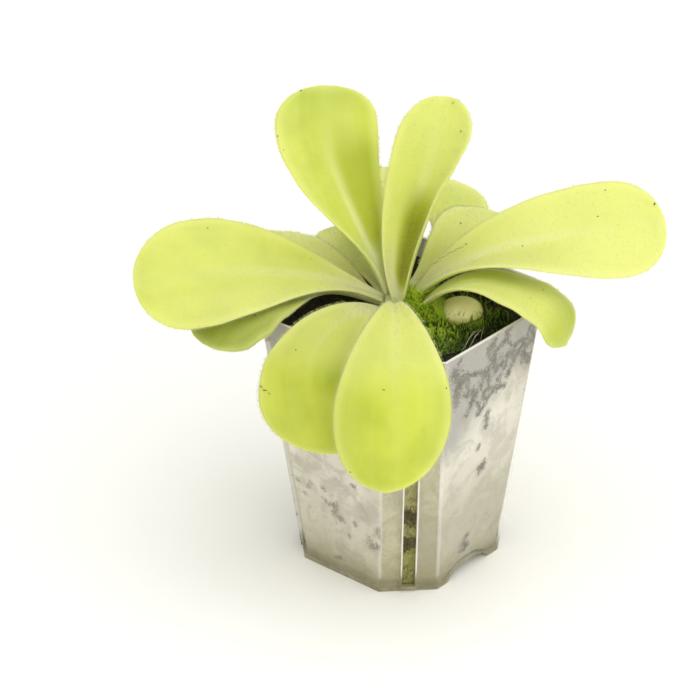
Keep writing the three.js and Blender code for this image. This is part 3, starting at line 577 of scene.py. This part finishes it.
def blocked(tree, start, end, spare):
    """Whether a surface lies between two points, or up to a spare length past the second."""
    gap = Vector((end - start) * MM)
    return tree.ray_cast(Vector(start * MM), gap.normalized(), gap.length + spare * MM)[0] is not None


def distance_to(tree, point):
    return tree.find_nearest(Vector(point * MM))[3] / MM


def unit(vector):
    return vector / np.linalg.norm(vector)


def ramp(value, start, width):
    """0 up to the start and 1 from a width past it."""
    return np.clip((value - start) / width, 0, 1)


def spin(turn):
    """The matrix that turns about the upright axis."""
    return np.array([[math.cos(turn), -math.sin(turn), 0], [math.sin(turn), math.cos(turn), 0], [0, 0, 1]])


def band(first, second, count):
    """Faces between two rings of points, each given by its first point."""
    return [(first + k, first + (k + 1) % count, second + (k + 1) % count, second + k) for k in range(count)]


def fan(ring, count, tip):
    return [(ring + k, ring + (k + 1) % count, tip) for k in range(count)]


# ---- The leaves ----

def along(values, share):
    """The smooth value at a share of the way along evenly spaced values (a Catmull-Rom spline)."""
    values = np.asarray(values, float)
    last = len(values) - 1
    start = np.minimum(np.floor(share * last).astype(int), last - 1)
    t = share * last - start
    rest = 1 - t
    here, there = values[start], values[start + 1]
    slope_in = (there - values[np.maximum(start - 1, 0)]) / 2
    slope_out = (values[np.minimum(start + 2, last)] - here) / 2
    return (here * (1 + 2 * t) * rest**2 + there * t * t * (3 - 2 * t)
            + slope_in * t * rest**2 - slope_out * t * t * rest)


def half_width(leaf, share):
    greatest = leaf["width"] / 2
    beyond = ramp(share, leaf["widest"], 1 - leaf["widest"])
    before = np.sin(np.pi / 2 * ramp(share, 0, leaf["widest"])) ** leaf["stalk"]
    stalk = BASE_WIDTH / 2 + (greatest - BASE_WIDTH / 2) * before
    return np.where(share > leaf["widest"], greatest * np.sqrt(1 - beyond ** leaf["tip"]), stalk)


def directions(leaf, share):
    rise = np.radians(along(leaf["rise"], share))
    heading = np.radians(along(leaf["heading"], share))
    return np.stack([np.cos(rise) * np.cos(heading), np.cos(rise) * np.sin(heading), np.sin(rise)], -1)


def leaf_sheet(leaf, share, across, seat_radius):
    """Middle surface, outward normal, half width, forward and side directions at every share and across."""
    steps = 120
    moves = directions(leaf, (np.arange(steps) + 0.5) / steps) * leaf["length"] / steps
    angle = math.radians(leaf["seat"][0])
    foot = [CROWN_X + seat_radius * math.cos(angle), CROWN_Y + seat_radius * math.sin(angle), leaf["seat"][1]]
    path = np.vstack([foot, foot + np.cumsum(moves, 0)])
    rib = np.stack([np.interp(share, np.linspace(0, 1, steps + 1), path[:, k]) for k in range(3)], -1)
    forwards = directions(leaf, share)
    heading = np.radians(along(leaf["heading"], share))
    level = np.stack([-np.sin(heading), np.cos(heading), 0 * heading], -1)
    upwards = np.cross(forwards, level)
    roll = np.radians(leaf["roll"][0] + (leaf["roll"][1] - leaf["roll"][0]) * share)[:, None]
    side = level * np.cos(roll) + upwards * np.sin(roll)
    up = upwards * np.cos(roll) - level * np.sin(roll)
    arc = np.radians(along(leaf["cup"], share))
    arc = np.where(np.abs(arc) < 1e-6, 1e-6, arc)[:, None]
    bend = arc * across
    reach = half_width(leaf, share)[:, None]
    sway = (leaf["sway"] * share ** 3)[:, None]
    middle = (rib[:, None] + side[:, None] * (sway + reach * np.sin(bend) / arc)[..., None]
              + up[:, None] * (reach * (1 - np.cos(bend)) / arc)[..., None])
    out = -side[:, None] * np.sin(bend)[..., None] + up[:, None] * np.cos(bend)[..., None]
    return middle, out, reach[:, 0], forwards, side


def thickness(share, across):
    fleshy = BASE_THICK + (RIB_THICK - BASE_THICK) * np.minimum(share / 0.35, 1)
    return fleshy[:, None] + (MARGIN_THICK - fleshy[:, None]) * np.abs(across) ** 1.5


def crown_radius(z):
    share = ramp(z, CROWN_BOTTOM, CROWN_TOP - CROWN_BOTTOM)
    return CROWN_RADIUS * np.abs(np.sin(np.pi * (0.16 + 0.84 * share))) ** 0.5


def rows_of(count, end):
    """Shares along a leaf, crowded towards its tip."""
    return np.sin(np.pi / 2 * np.arange(count + 1) / count) ** ROW_POWER * end


def seat_radius_of(leaf):
    """Distance of the leaf's base from the crown's axis at which its CAD grid is just clear of the stem."""
    share, across = rows_of(16, 0.995), np.linspace(-1, 1, 7)
    half = thickness(share, across)[..., None] / 2
    radius = 0.0
    while True:
        middle, out, *_ = leaf_sheet(leaf, share, across, radius)
        both = np.concatenate([middle + out * half, middle - out * half]).reshape(-1, 3)
        away = np.hypot(both[:, 0] - CROWN_X, both[:, 1] - CROWN_Y)
        if not np.any((both[:, 2] < CROWN_TOP) & (away < crown_radius(both[:, 2]) + CLEARANCE)):
            return radius
        radius += 0.02


def relief(leaf, share, across, phase):
    """Small lengthwise and crosswise waves of the blade, none of them near the stalk."""
    grown = ramp(share, 0.25, 0.35)[:, None]
    s = share[:, None]
    swell = 0.16 * np.sin(7 * s + 2.3 * across + phase) + 0.10 * np.sin(15 * s - 3.1 * across + 1.7 * phase)
    flutter = np.sin(26 * s + 5 * np.sign(across) + phase + 1.5 * np.sin(9 * s))
    ripple = leaf["wave"] * 0.30 * np.abs(across) ** 3 * flutter
    return grown * (swell + ripple)


def leaf_piece(name, leaf, flesh, phase):
    """A blade: the CAD sheet sampled finely, with a rounded margin, a groove on the midrib and soft waves."""
    rows, columns = BLADE_ROWS, BLADE_COLUMNS
    share = rows_of(rows, 0.9985)
    spread = np.linspace(-1, 1, columns + 1)
    across = np.sign(spread) * (0.62 * np.abs(spread) + 0.38 * np.sin(np.pi / 2 * np.abs(spread)))
    middle, out, reach, _, _ = leaf_sheet(leaf, share, across, leaf["seat_radius"])
    half = thickness(share, across) / 2 * np.sqrt(np.clip(1 - np.abs(across) ** 22, 0.02, 1))
    rib_mm = np.abs(across) * reach[:, None]
    groove = 0.34 * np.exp(-(rib_mm / 0.7) ** 2) * np.clip(1.1 - share, 0, 1)[:, None]
    groove *= ramp(share, 0, 0.12)[:, None]
    wave = relief(leaf, share, across, phase)
    top = middle + out * (half + wave - groove)[..., None]
    under = middle - out * (half - wave + 0.5 * groove)[..., None]
    width = columns + 1
    count = len(share) * width
    faces = []
    for row in range(rows):
        for column in range(columns):
            near = row * width + column
            far = near + width
            faces.append((near, far, far + 1, near + 1))
            faces.append((count + near + 1, count + far + 1, count + far, count + near))
        for edge in (0, columns):
            near = row * width + edge
            rim = (near, count + near, count + near + width, near + width)
            faces.append(rim if edge == 0 else rim[::-1])
    for column in range(columns):
        tip = rows * width + column
        faces.append((column, column + 1, count + column + 1, count + column))
        faces.append((tip + 1, tip, count + tip, count + tip + 1))
    edge_mm = np.minimum((1 - np.abs(across)) * reach[:, None], ((1 - share) * leaf["length"])[:, None] + 0.2)
    # The painted shade of the channel beside the midrib, by share along the leaf and across it.
    most, right_end, left_end, right_soft, left_soft, start, end = PAINTED_CHANNEL_SHADE.get(name, PAINTED_CHANNEL_SHADE_ELSEWHERE)
    deeper = most * (ramp(across, right_end - right_soft, right_soft)
                     * ramp(-across, -left_end - left_soft, left_soft))
    deeper = deeper * (ramp(share, start, 0.1) * ramp(-share, -end, 0.22))[:, None]
    both = lambda grid: np.tile(grid.reshape(-1), 2)
    # tone paints a whole leaf paler or duller, partly as painted light and shade; lift sets its painted
    # sheen.
    return build(name + "_blade", np.concatenate([top.reshape(-1, 3), under.reshape(-1, 3)]), faces, flesh,
                 share=both(np.repeat(share, width)), rib_mm=both(rib_mm), edge_mm=both(edge_mm),
                 across_mm=both(across * reach[:, None]), upper=np.repeat([1, 0], count), deeper=both(deeper),
                 tone=np.full(2 * count, leaf["tone"]), rib_strength=np.full(2 * count, leaf["rib"]),
                 lift=np.concatenate([out[..., 2].reshape(-1), -out[..., 2].reshape(-1)]))


def hairs_piece(name, leaf, material, phase, others):
    """Short glandular hairs, each with its drop, over the upper face and densely round the margin."""
    dice = np.random.default_rng(int(1000 * phase) + 5)
    share = np.concatenate([0.12 + 0.87 * dice.random(HAIRS_ON_FACE) ** 0.8,
                            0.2 + 0.79 * dice.random(HAIRS_ON_EDGE)])
    edge_side = np.where(dice.random(HAIRS_ON_EDGE) < 0.5, -1.0, 1.0)
    across = np.concatenate([2 * dice.random(HAIRS_ON_FACE) - 1,
                             edge_side * (EDGE_START + EDGE_BAND * dice.random(HAIRS_ON_EDGE))])
    order = np.argsort(share)
    share, across = share[order], across[order]
    on_edge = np.abs(across) > EDGE_START
    column = across[:, None]
    middle, out, _, _, side = leaf_sheet(leaf, share, column, leaf["seat_radius"])
    lift = relief(leaf, share, column, phase) + np.where(on_edge, 0, 0.45)[:, None] * thickness(share, column)
    feet = middle[:, 0] + out[:, 0] * lift
    aims = np.where(on_edge[:, None], 0.5 * out[:, 0] + 1.2 * np.sign(column) * side, out[:, 0])
    aims = aims + 0.22 * dice.standard_normal(feet.shape)
    aims /= np.linalg.norm(aims, axis=1, keepdims=True)
    vertices, faces = [], []
    for foot, aim, tall in zip(feet, aims, 0.40 + 0.35 * dice.random(len(feet))):
        # A hair that would run into something else is left out.
        hit = others.ray_cast(Vector(foot * MM), Vector(aim), (tall + 0.35) * MM)
        if hit[0] is not None and hit[3] > 0.02 * MM:
            continue
        one = unit(np.cross(aim, [0.3, 0.5, 0.81]))
        two = np.cross(aim, one)
        head = foot + aim * tall
        start = len(vertices)
        for turn in (2 * math.pi * k / 3 for k in range(3)):
            vertices.append(foot + HAIR_RADIUS * (one * math.cos(turn) + two * math.sin(turn)))
        vertices.append(head)
        faces += fan(start, 3, start + 3) + [(start + 2, start + 1, start)]
        drop = len(vertices)
        vertices += [head + axis * DROP_RADIUS for axis in (one, two, -one, -two, aim, -aim)]
        for k in range(4):
            ahead = (k + 1) % 4
            faces += [(drop + k, drop + ahead, drop + 4), (drop + ahead, drop + k, drop + 5)]
    return build(name + "_hairs", vertices, faces, material)


def caught_and_crease_shade_piece(leaves):
    """Specks of grit and small dead midges stuck to the leaves, and long thin lumps that draw a crease as
    painted shade, each a low dark lump of three rings.
    """
    dice = np.random.default_rng(33)
    around = 7
    vertices, faces = [], []
    for name, share, across, size, long, turn in ((name, *row) for name, rows in CAUGHT_AND_CREASE_SHADE for row in rows):
        leaf = leaves[name]
        row, column = np.array([share]), np.array([across])
        middle, out, _, forwards, side = leaf_sheet(leaf, row, column, leaf["seat_radius"])
        up = out[0, 0]
        centre = middle[0, 0] + up * (thickness(row, column)[0, 0] / 2 + 0.16)
        turn = math.radians(turn)
        one = forwards[0] * math.cos(turn) + side[0] * math.sin(turn)
        one = unit(one - up * (one @ up))
        two = np.cross(up, one)
        start = len(vertices)
        for level, girth in ((-0.5, 0.75), (0.25, 1.0), (0.75, 0.55)):
            for k in range(around):
                angle = 2 * math.pi * k / around
                rough = girth * (0.8 + 0.4 * dice.random())
                vertices.append(centre + size * rough * (one * math.cos(angle) * long + two * math.sin(angle))
                                + up * size * level * 0.7)
        faces += band(start, start + around, around) + band(start + around, start + 2 * around, around)
        faces.append(tuple(range(start + around - 1, start - 1, -1)))
        faces.append(tuple(range(start + 2 * around, start + 3 * around)))
    settle(build("midges_and_crease_shade", vertices, faces, caught_and_crease_shade_material(), smooth=False))


# ---- Soil, moss and pebble ----

def sampled(mesh, count, dice, keep):
    """Random points with normals on a mesh, in metres, even by area."""
    mesh.calc_loop_triangles()
    corners, normals = [], []
    for triangle in mesh.loop_triangles:
        points = [mesh.vertices[k].co for k in triangle.vertices]
        if keep((points[0] + points[1] + points[2]) / 3, triangle.normal):
            corners.append([tuple(p) for p in points])
            normals.append(tuple(triangle.normal))
    corners, normals = np.array(corners), np.array(normals)
    area = np.linalg.norm(np.cross(corners[:, 1] - corners[:, 0], corners[:, 2] - corners[:, 0]), axis=1)
    pick = dice.choice(len(area), count, p=area / area.sum())
    u, v = dice.random(count), dice.random(count)
    flip = u + v > 1
    u, v = np.where(flip, 1 - u, u)[:, None], np.where(flip, 1 - v, v)[:, None]
    first, second, third = corners[pick].transpose(1, 0, 2)
    return first + (second - first) * u + (third - first) * v, normals[pick]


class Strands:
    """Thin three-sided shoots for one mesh, each along a path in millimetres and narrowing to its end."""

    def __init__(self):
        self.vertices, self.faces, self.heights, self.tints = [], [], [], []

    def add(self, path, radius, tint):
        start, last = len(self.vertices), len(path) - 1
        for k in range(last):
            ahead = path[k + 1] - path[max(k - 1, 0)]
            ahead = ahead / (np.linalg.norm(ahead) + TINY)
            one = np.cross(ahead, [0.31, 0.52, 0.13])
            one /= np.linalg.norm(one) + TINY
            two = np.cross(ahead, one)
            size = radius * (1 - 0.6 * k / last)
            self.vertices += [path[k] + size * (one * math.cos(turn) + two * math.sin(turn))
                              for turn in THIRDS]
            self.heights += [k / last] * 3
        self.vertices.append(path[last])
        self.heights.append(1.0)
        self.tints += [tint] * (3 * last + 1)
        for k in range(last - 1):
            self.faces += band(start + 3 * k, start + 3 * k + 3, 3)
        self.faces.append((start + 2, start + 1, start))
        self.faces += fan(start + 3 * (last - 1), 3, start + 3 * last)


def moss_pieces(obstacles, stone):
    """The cushion keeps its CAD form. Shoots stand on it, and threads arch over the peat and the pebble."""
    dice = np.random.default_rng(21)
    settle(copied("moss", "moss_bed", cushion_material()), "moss")
    points, normals = sampled(nodes["moss"].data, MOSS_SHOOTS, dice,
                              lambda c, n: n.z > 0.12 and c.z > MOSS_FOOT * MM)
    moss = Strands()
    for foot, normal in zip(points / MM, normals):
        # Lush and bright beside the crown, then darker and thinner towards the rim, where bare peat shows.
        away = math.dist(foot[:2], MOSS_MIDDLE)
        lush = min(1.0, max(0.0, (MOSS_END - away) / MOSS_FADE))
        beside = math.hypot(*((foot - PEBBLE_CENTRE)[:2] / BARE_OVAL))
        if dice.random() > 0.16 + 0.84 * lush or beside < 0.95:
            continue
        tall = (1.5 + 2.2 * lush) * (0.5 + 0.8 * dice.random())
        aim = unit(0.35 * normal + UPWARDS + 0.38 * dice.standard_normal(3))
        droop = 0.35 * dice.standard_normal(3) * [1, 1, 0.3]
        path = [foot - aim * 0.25]
        path += [foot + aim * tall * t + droop * tall * t**2 * 0.8 for t in (0.33, 0.66, 1.0)]
        if blocked(obstacles, path[0], path[-1], 0.3) or distance_to(obstacles, path[-1]) < 0.25:
            continue
        tint = float(np.clip(0.85 * lush + 0.30 * dice.random() + 0.05 * dice.standard_normal(), 0, 1))
        # Shoots beside the pebble are painted brighter, painted light lifting the shade they stand in.
        if beside < 1.6 and lush > 0.25:
            tint = min(1.0, tint + 0.4)
        moss.add(path, 0.11 + 0.08 * dice.random(), tint)
    # Longer fine threads arch over the peat beside the pebble and up its sides.
    for _ in range(LONG_THREADS):
        turn = 2 * math.pi * dice.random()
        away = 1.0 + 0.5 * dice.random()
        foot = np.array([RING_MIDDLE[0] + RING_SIZE[0] * away * math.cos(turn),
                         RING_MIDDLE[1] + RING_SIZE[1] * away * math.sin(turn), RING_HEIGHT])
        if foot[0] > 29 or abs(foot[1]) > 16:
            continue
        lean = np.append(0.9 * dice.standard_normal(2), 2.2 + 1.6 * dice.random())
        tall = 3.0 + 3.5 * dice.random()
        lean *= tall / np.linalg.norm(lean)
        sag = np.append(dice.standard_normal(2), -0.8) * 0.35
        path = [foot + lean * t + sag * tall * t * t * 0.6 for t in (0, 0.25, 0.5, 0.75, 1.0)]
        if not any(blocked(obstacles, one, two, 0.25) for one, two in zip(path, path[1:])):
            moss.add(path, 0.07, 0.65 + 0.35 * dice.random())
    for x, y, far_x, far_y in THREADS:
        rise = lambda t: 73.6 - 1.3 * t + 1.5 * math.sin(math.pi * t)
        path = [np.array([x + (far_x - x) * t, y + (far_y - y) * t, rise(t)]) for t in np.linspace(0, 1, 8)]
        if not any(blocked(obstacles, one, two, 0) for one, two in zip(path, path[1:])):
            moss.add(path, 0.10, THREAD_TINT)
    # Threads that lie over the pebble, a hair's breadth off it.
    for _ in range(PEBBLE_THREADS):
        turn = 2 * math.pi * dice.random()
        heading = turn + math.pi + 0.9 * dice.standard_normal()
        first_tilt = 0.10 + 0.25 * dice.random()
        path = []
        for t in np.linspace(0, 1, 6):
            tilt = first_tilt + 0.65 * t
            swing = turn + 0.35 * t * math.sin(heading)
            flat = math.cos(tilt)
            ray = np.array([flat * math.cos(swing), flat * math.sin(swing), math.sin(tilt)])
            place, normal, *_ = stone.ray_cast(Vector((ray * 20 + PEBBLE_CENTRE) * MM), Vector(-ray), 20 * MM)
            if place is None:
                break
            path.append(np.array(place) / MM + np.array(normal) * 0.22)
        if len(path) > 3:
            moss.add(path[:3 + int(2 * dice.random())], 0.05, 0.85 + 0.15 * dice.random())
    settle(build("moss_shoots", moss.vertices, moss.faces, moss_material(), height=moss.heights,
                 tint=moss.tints))


def peat_pieces(obstacles):
    """The peat keeps its CAD form, with loose crumbs on it: small uneven octahedra."""
    dice = np.random.default_rng(8)
    peat = peat_material()
    settle(copied("peat", "peat_bed", peat), "peat")
    points, _ = sampled(nodes["peat"].data, PEAT_CRUMBS, dice,
                        lambda c, n: n.z > 0.7 and c.z > 71 * MM and max(abs(c.x), abs(c.y)) < 31 * MM)
    base = np.array([[1, 0, 0], [-1, 0, 0], [0, 1, 0], [0, -1, 0], [0, 0, 1], [0, 0, -1]], float)
    octants = [(0, 2, 4), (2, 1, 4), (1, 3, 4), (3, 0, 4), (2, 0, 5), (1, 2, 5), (3, 1, 5), (0, 3, 5)]
    vertices, faces = [], []
    for foot in points / MM:
        size = 0.25 + 0.75 * dice.random() ** 3
        if distance_to(obstacles, foot + UPWARDS * size * 0.4) < size + 0.3:
            continue
        stretch = size * (0.6 + 0.8 * dice.random(3)) * [1, 1, 0.7]
        turned = spin(2 * math.pi * dice.random()).T
        start = len(vertices)
        lumps = (base + 0.25 * dice.standard_normal(base.shape)) * stretch @ turned
        vertices.extend(foot + UPWARDS * size * 0.25 + lumps)
        faces.extend(tuple(start + k for k in face) for face in octants)
    settle(build("peat_crumbs", vertices, faces, peat, smooth=False))


def pebble_piece():
    """The stone's own form, sampled finely, with shallow pits."""
    around, up = 72, 40
    tilt = (np.arange(1, up) / up * math.pi)[:, None]
    swing = (np.arange(around) / around * 2 * math.pi)[None, :]
    ball = np.stack([np.sin(tilt) * np.cos(swing), np.sin(tilt) * np.sin(swing),
                     np.cos(tilt) + 0 * swing], -1)
    ball = np.vstack([ball.reshape(-1, 3), UPWARDS, -UPWARDS])
    swell = 1 + 0.05 * np.sin(2.3 * ball[:, 0] + 1) - 0.04 * np.cos(3 * ball[:, 1])
    pits = 0.006 * np.sin(9 * ball[:, 0] + 4 * ball[:, 2]) * np.sin(11 * ball[:, 1] - 3 * ball[:, 2])
    turned = spin(math.radians(PEBBLE_TURN)).T
    points = ball * np.array(PEBBLE_SIZE) / 2 * (swell + pits - 0.006)[:, None] @ turned + PEBBLE_CENTRE
    faces = []
    for row in range(up - 2):
        for k in range(around):
            here, ahead = row * around + k, row * around + (k + 1) % around
            faces.append((here, here + around, ahead + around, ahead))
    top, bottom, last = len(ball) - 2, len(ball) - 1, (up - 2) * around
    for k in range(around):
        faces.append((top, k, (k + 1) % around))
        faces.append((bottom, last + (k + 1) % around, last + k))
    settle(build("pebble_stone", points, faces, pebble_material()), "pebble")


def walls_at(height):
    """Half the pot's width, and the cut of its corners, at a height."""
    share = height / POT_HEIGHT
    return BASE_HALF + (RIM_HALF - BASE_HALF) * share, BASE_CUT + (RIM_CUT - BASE_CUT) * share


def sphagnum_pieces():
    """The stuffing keeps its CAD block, and short fibres lie in the open slots of the cut corners."""
    dice = np.random.default_rng(4)
    settle(copied("sphagnum_fill", "sphagnum_block", sphagnum_material()), "sphagnum_fill")
    fibres = Strands()
    for corner in (45, 135, 225, 315):
        out = np.array([math.cos(math.radians(corner)), math.sin(math.radians(corner)), 0])
        side = np.array([-out[1], out[0], 0])
        for _ in range(SLOT_FIBRES):
            z = SLOT_BOTTOM + 1.5 + (FILL_TOP - SLOT_BOTTOM - 3) * dice.random()
            half, cut = walls_at(z)
            depth = (2 * half - cut) / math.sqrt(2) - WALL - 0.12 + 0.5 * dice.random()
            foot = out * depth + side * (1.1 * (2 * dice.random() - 1)) + UPWARDS * z
            aim = unit(side * dice.standard_normal() * 0.5 + UPWARDS * dice.standard_normal())
            aim = aim * min(1.3, 1.5 / (abs(aim @ side) + 0.3))
            path = []
            for t in (0, 0.35, 0.7, 1.0):
                point = foot + aim * t + out * 0.25 * math.sin(math.pi * t)
                # No fibre leaves its slot.
                path.append(point + side * (np.clip(point @ side, -1.5, 1.5) - point @ side))
            dark = any(low < z < high for low, high in DARK_PLUGS)
            fibres.add(path, 0.16, 0.0 if dark else 0.4 + 0.6 * dice.random())
    settle(build("slot_fibres", fibres.vertices, fibres.faces, slot_fibre_material(), tint=fibres.tints))


# ---- The pot ----

def stroke_field(points, strokes, widen=1.0):
    """1 on the line of a stroke, 0.5 at its edge and 0 at a full width from its line."""
    field = np.zeros(len(points))
    for width, *line in strokes:
        line = np.array(line, float).reshape(-1, 2)
        for a, b in zip(line, line[1:]):
            share = np.clip((points - a) @ (b - a) / ((b - a) @ (b - a)), 0, 1)
            gap = np.linalg.norm(points - a - share[:, None] * (b - a), axis=1)
            field = np.maximum(field, 1 - gap / (widen * width))
    return field


def sliced(shape, strips, normal, distances):
    """Cuts flat faces at each distance along a normal, in metres, and returns every part of them."""
    done, rest = [], list(strips)
    for distance in distances:
        geometry = dict.fromkeys(item for face in rest for item in (face, *face.edges, *face.verts))
        cut = bmesh.ops.bisect_plane(shape, geom=list(geometry), plane_co=normal * distance, plane_no=normal,
                                     dist=1e-7)
        parts = [item for item in cut["geom"] if isinstance(item, bmesh.types.BMFace)]
        done += [face for face in parts if face.calc_center_median().dot(normal) < distance]
        rest = [face for face in parts if face.calc_center_median().dot(normal) >= distance]
        if not rest:
            break
    return done + rest


def paint_marks(mesh):
    """Writes the marks of the four wide inner faces into the mesh's points."""
    points = np.empty(3 * len(mesh.vertices), np.float32)
    mesh.vertices.foreach_get("co", points)
    points = points.reshape(-1, 3) / MM
    inner = walls_at(points[:, 2])[0] - WALL
    grime, patch, slant = np.zeros((3, len(points)))
    for axis, sign, way, strokes, widen, strength, patches, lean, drop in MARKED_FACES:
        on = np.abs(sign * points[:, axis] - inner) < 0.06
        across = points[on, 1 - axis] * way
        flat = np.stack([across, points[on, 2]], -1)
        grime[on] = strength * stroke_field(flat, strokes, widen)
        patch[on] = stroke_field(flat, patches)
        slant[on] = lean * across - drop
    write(mesh, {"grime": grime, "patch": patch, "slant": slant})


def pot_piece():
    """The CAD shell with its sharp edges rounded. Each face has its finish by where it is in the wall."""
    shell = copied("pot", "pot_shell", pot_outer_material(), pot_inner_material(), pot_edge_material())
    shape = bmesh.new()
    shape.from_mesh(shell.data)
    bmesh.ops.remove_doubles(shape, verts=shape.verts[:], dist=1e-6)
    bmesh.ops.dissolve_limit(shape, angle_limit=math.radians(1.2), verts=shape.verts[:], edges=shape.edges[:])
    sharp = [e for e in shape.edges if len(e.link_faces) == 2 and e.calc_face_angle(0) > math.radians(28)]
    bmesh.ops.bevel(shape, geom=sharp, offset=EDGE_ROUND * MM, segments=2, profile=0.5, affect="EDGES",
                    clamp_overlap=True)
    lean = (RIM_HALF - BASE_HALF) / POT_HEIGHT
    for face in shape.faces:
        centre = face.calc_center_median() / MM
        half, cut = walls_at(centre.z)
        wide = half - max(abs(centre.x), abs(centre.y))
        corner = ((2 * half - cut) - (abs(centre.x) + abs(centre.y))) / math.sqrt(2)
        depth = min(wide, corner)
        outwards = face.normal.x * centre.x + face.normal.y * centre.y
        steep = abs(face.normal.z) < 0.35 + lean
        face.material_index = EDGE
        if steep and depth < 0.12 and outwards > 0 and face.calc_area() > 2e-6:
            face.material_index = OUTER
        elif steep and abs(depth - WALL) < 0.15 and outwards < 0:
            face.material_index = INNER
        face.smooth = False
    # The wide inner faces are cut into small squares, which carry the marks in their points.
    levels = [z * MM for z in np.arange(1.0, POT_HEIGHT, MARK_GRID)]
    columns = [k * MM for k in np.arange(-24.0, 24.01, MARK_GRID)]
    walls = [face for face in shape.faces
             if face.material_index == INNER and max(abs(face.normal.x), abs(face.normal.y)) > 0.9]
    for wall in walls:
        sideways = Vector((0, 1, 0)) if abs(wall.normal.x) > 0.9 else Vector((1, 0, 0))
        sliced(shape, sliced(shape, [wall], Vector(UPWARDS), levels), sideways, columns)
    crowded = [face for face in shape.faces if len(face.verts) > 4]
    bmesh.ops.triangulate(shape, faces=crowded, quad_method="BEAUTY", ngon_method="BEAUTY")
    shape.to_mesh(shell.data)
    shape.free()
    paint_marks(shell.data)
    settle(shell, "pot")


# ---- Light, floor and camera ----

def camera():
    """The photo's view. Its directions to the right and to the back come out."""
    azimuth, elevation = math.radians(AZIMUTH), math.radians(ELEVATION)
    right = Vector((math.cos(azimuth), math.sin(azimuth), 0))
    back = Vector((math.sin(azimuth) * math.cos(elevation), -math.cos(azimuth) * math.cos(elevation),
                   math.sin(elevation)))
    data = bpy.data.cameras.new("camera")
    data.sensor_fit = "HORIZONTAL"
    data.angle = math.radians(FIELD)
    data.clip_start = 0.01
    view = linked("camera", data)
    view.location = (Vector((0, 0, AIM_HEIGHT)) - AIM_LEFT * right + back * DISTANCE) * MM
    view.rotation_euler = (-back).to_track_quat("-Z", "Y").to_euler()
    bpy.context.scene.camera = view
    return right, back


def softbox(name, location, size, power):
    """A square soft light that faces the middle of the plant."""
    data = bpy.data.lights.new(name, "AREA")
    data.shape = "RECTANGLE"
    data.size, data.size_y = size, size
    data.energy = power
    lamp = linked(name, data)
    lamp.location = location
    lamp.rotation_euler = (Vector((0, 0, 0.07)) - location).to_track_quat("-Z", "Y").to_euler()


def stage(right, back):
    corners = np.array([[-1, -1, 0], [1, -1, 0], [1, 1, 0], [-1, 1, 0]]) * FLOOR_HALF
    floor = build("floor", corners, [(0, 1, 2, 3)], floor_material(), smooth=False)
    scene = bpy.context.scene
    scene.world = bpy.data.worlds.new("studio")
    scene.world.use_nodes = True
    background = scene.world.node_tree.nodes["Background"]
    background.inputs["Color"].default_value = SKY_COLOUR
    background.inputs["Strength"].default_value = SKY_STRENGTH
    flat = Vector((back.x, back.y, 0)).normalized()
    for name, ((sideways, forwards, height), size, power) in SOFTBOXES.items():
        softbox(name, sideways * right + forwards * flat + Vector((0, 0, height)), size, power)
    scene.view_settings.view_transform = "Standard"
    scene.view_settings.look = "None"
    scene.view_settings.exposure = 0
    scene.view_settings.gamma = 1


# ---- The object ----

right, back = camera()
stage(right, back)

leaves = {name: dict(zip(KEYS, values)) for name, values in LEAVES.items()}
flesh, hair = leaf_material(), hair_material()
for index, (name, leaf) in enumerate(leaves.items()):
    leaf["seat_radius"] = seat_radius_of(leaf)
    phase = 1.0 + 0.9 * index
    settle(leaf_piece(name, leaf, flesh, phase), name)
    others = [node for node in nodes if node not in (name, "pot", "sphagnum_fill", "peat")]
    settle(hairs_piece(name, leaf, hair, phase, tree_of(others)))
caught_and_crease_shade_piece(leaves)

crown = nodes["crown"].data
crown.materials.clear()
crown.materials.append(crown_material())
crown.polygons.foreach_set("use_smooth", np.full(len(crown.polygons), True))

plant = [name for name in nodes if "leaf" in name or name == "crown"]
moss_pieces(tree_of(plant + ["pebble", "pot"]), tree_of(["pebble"]))
peat_pieces(tree_of(plant + ["pebble", "pot", "moss"]))
pebble_piece()
sphagnum_pieces()
pot_piece()

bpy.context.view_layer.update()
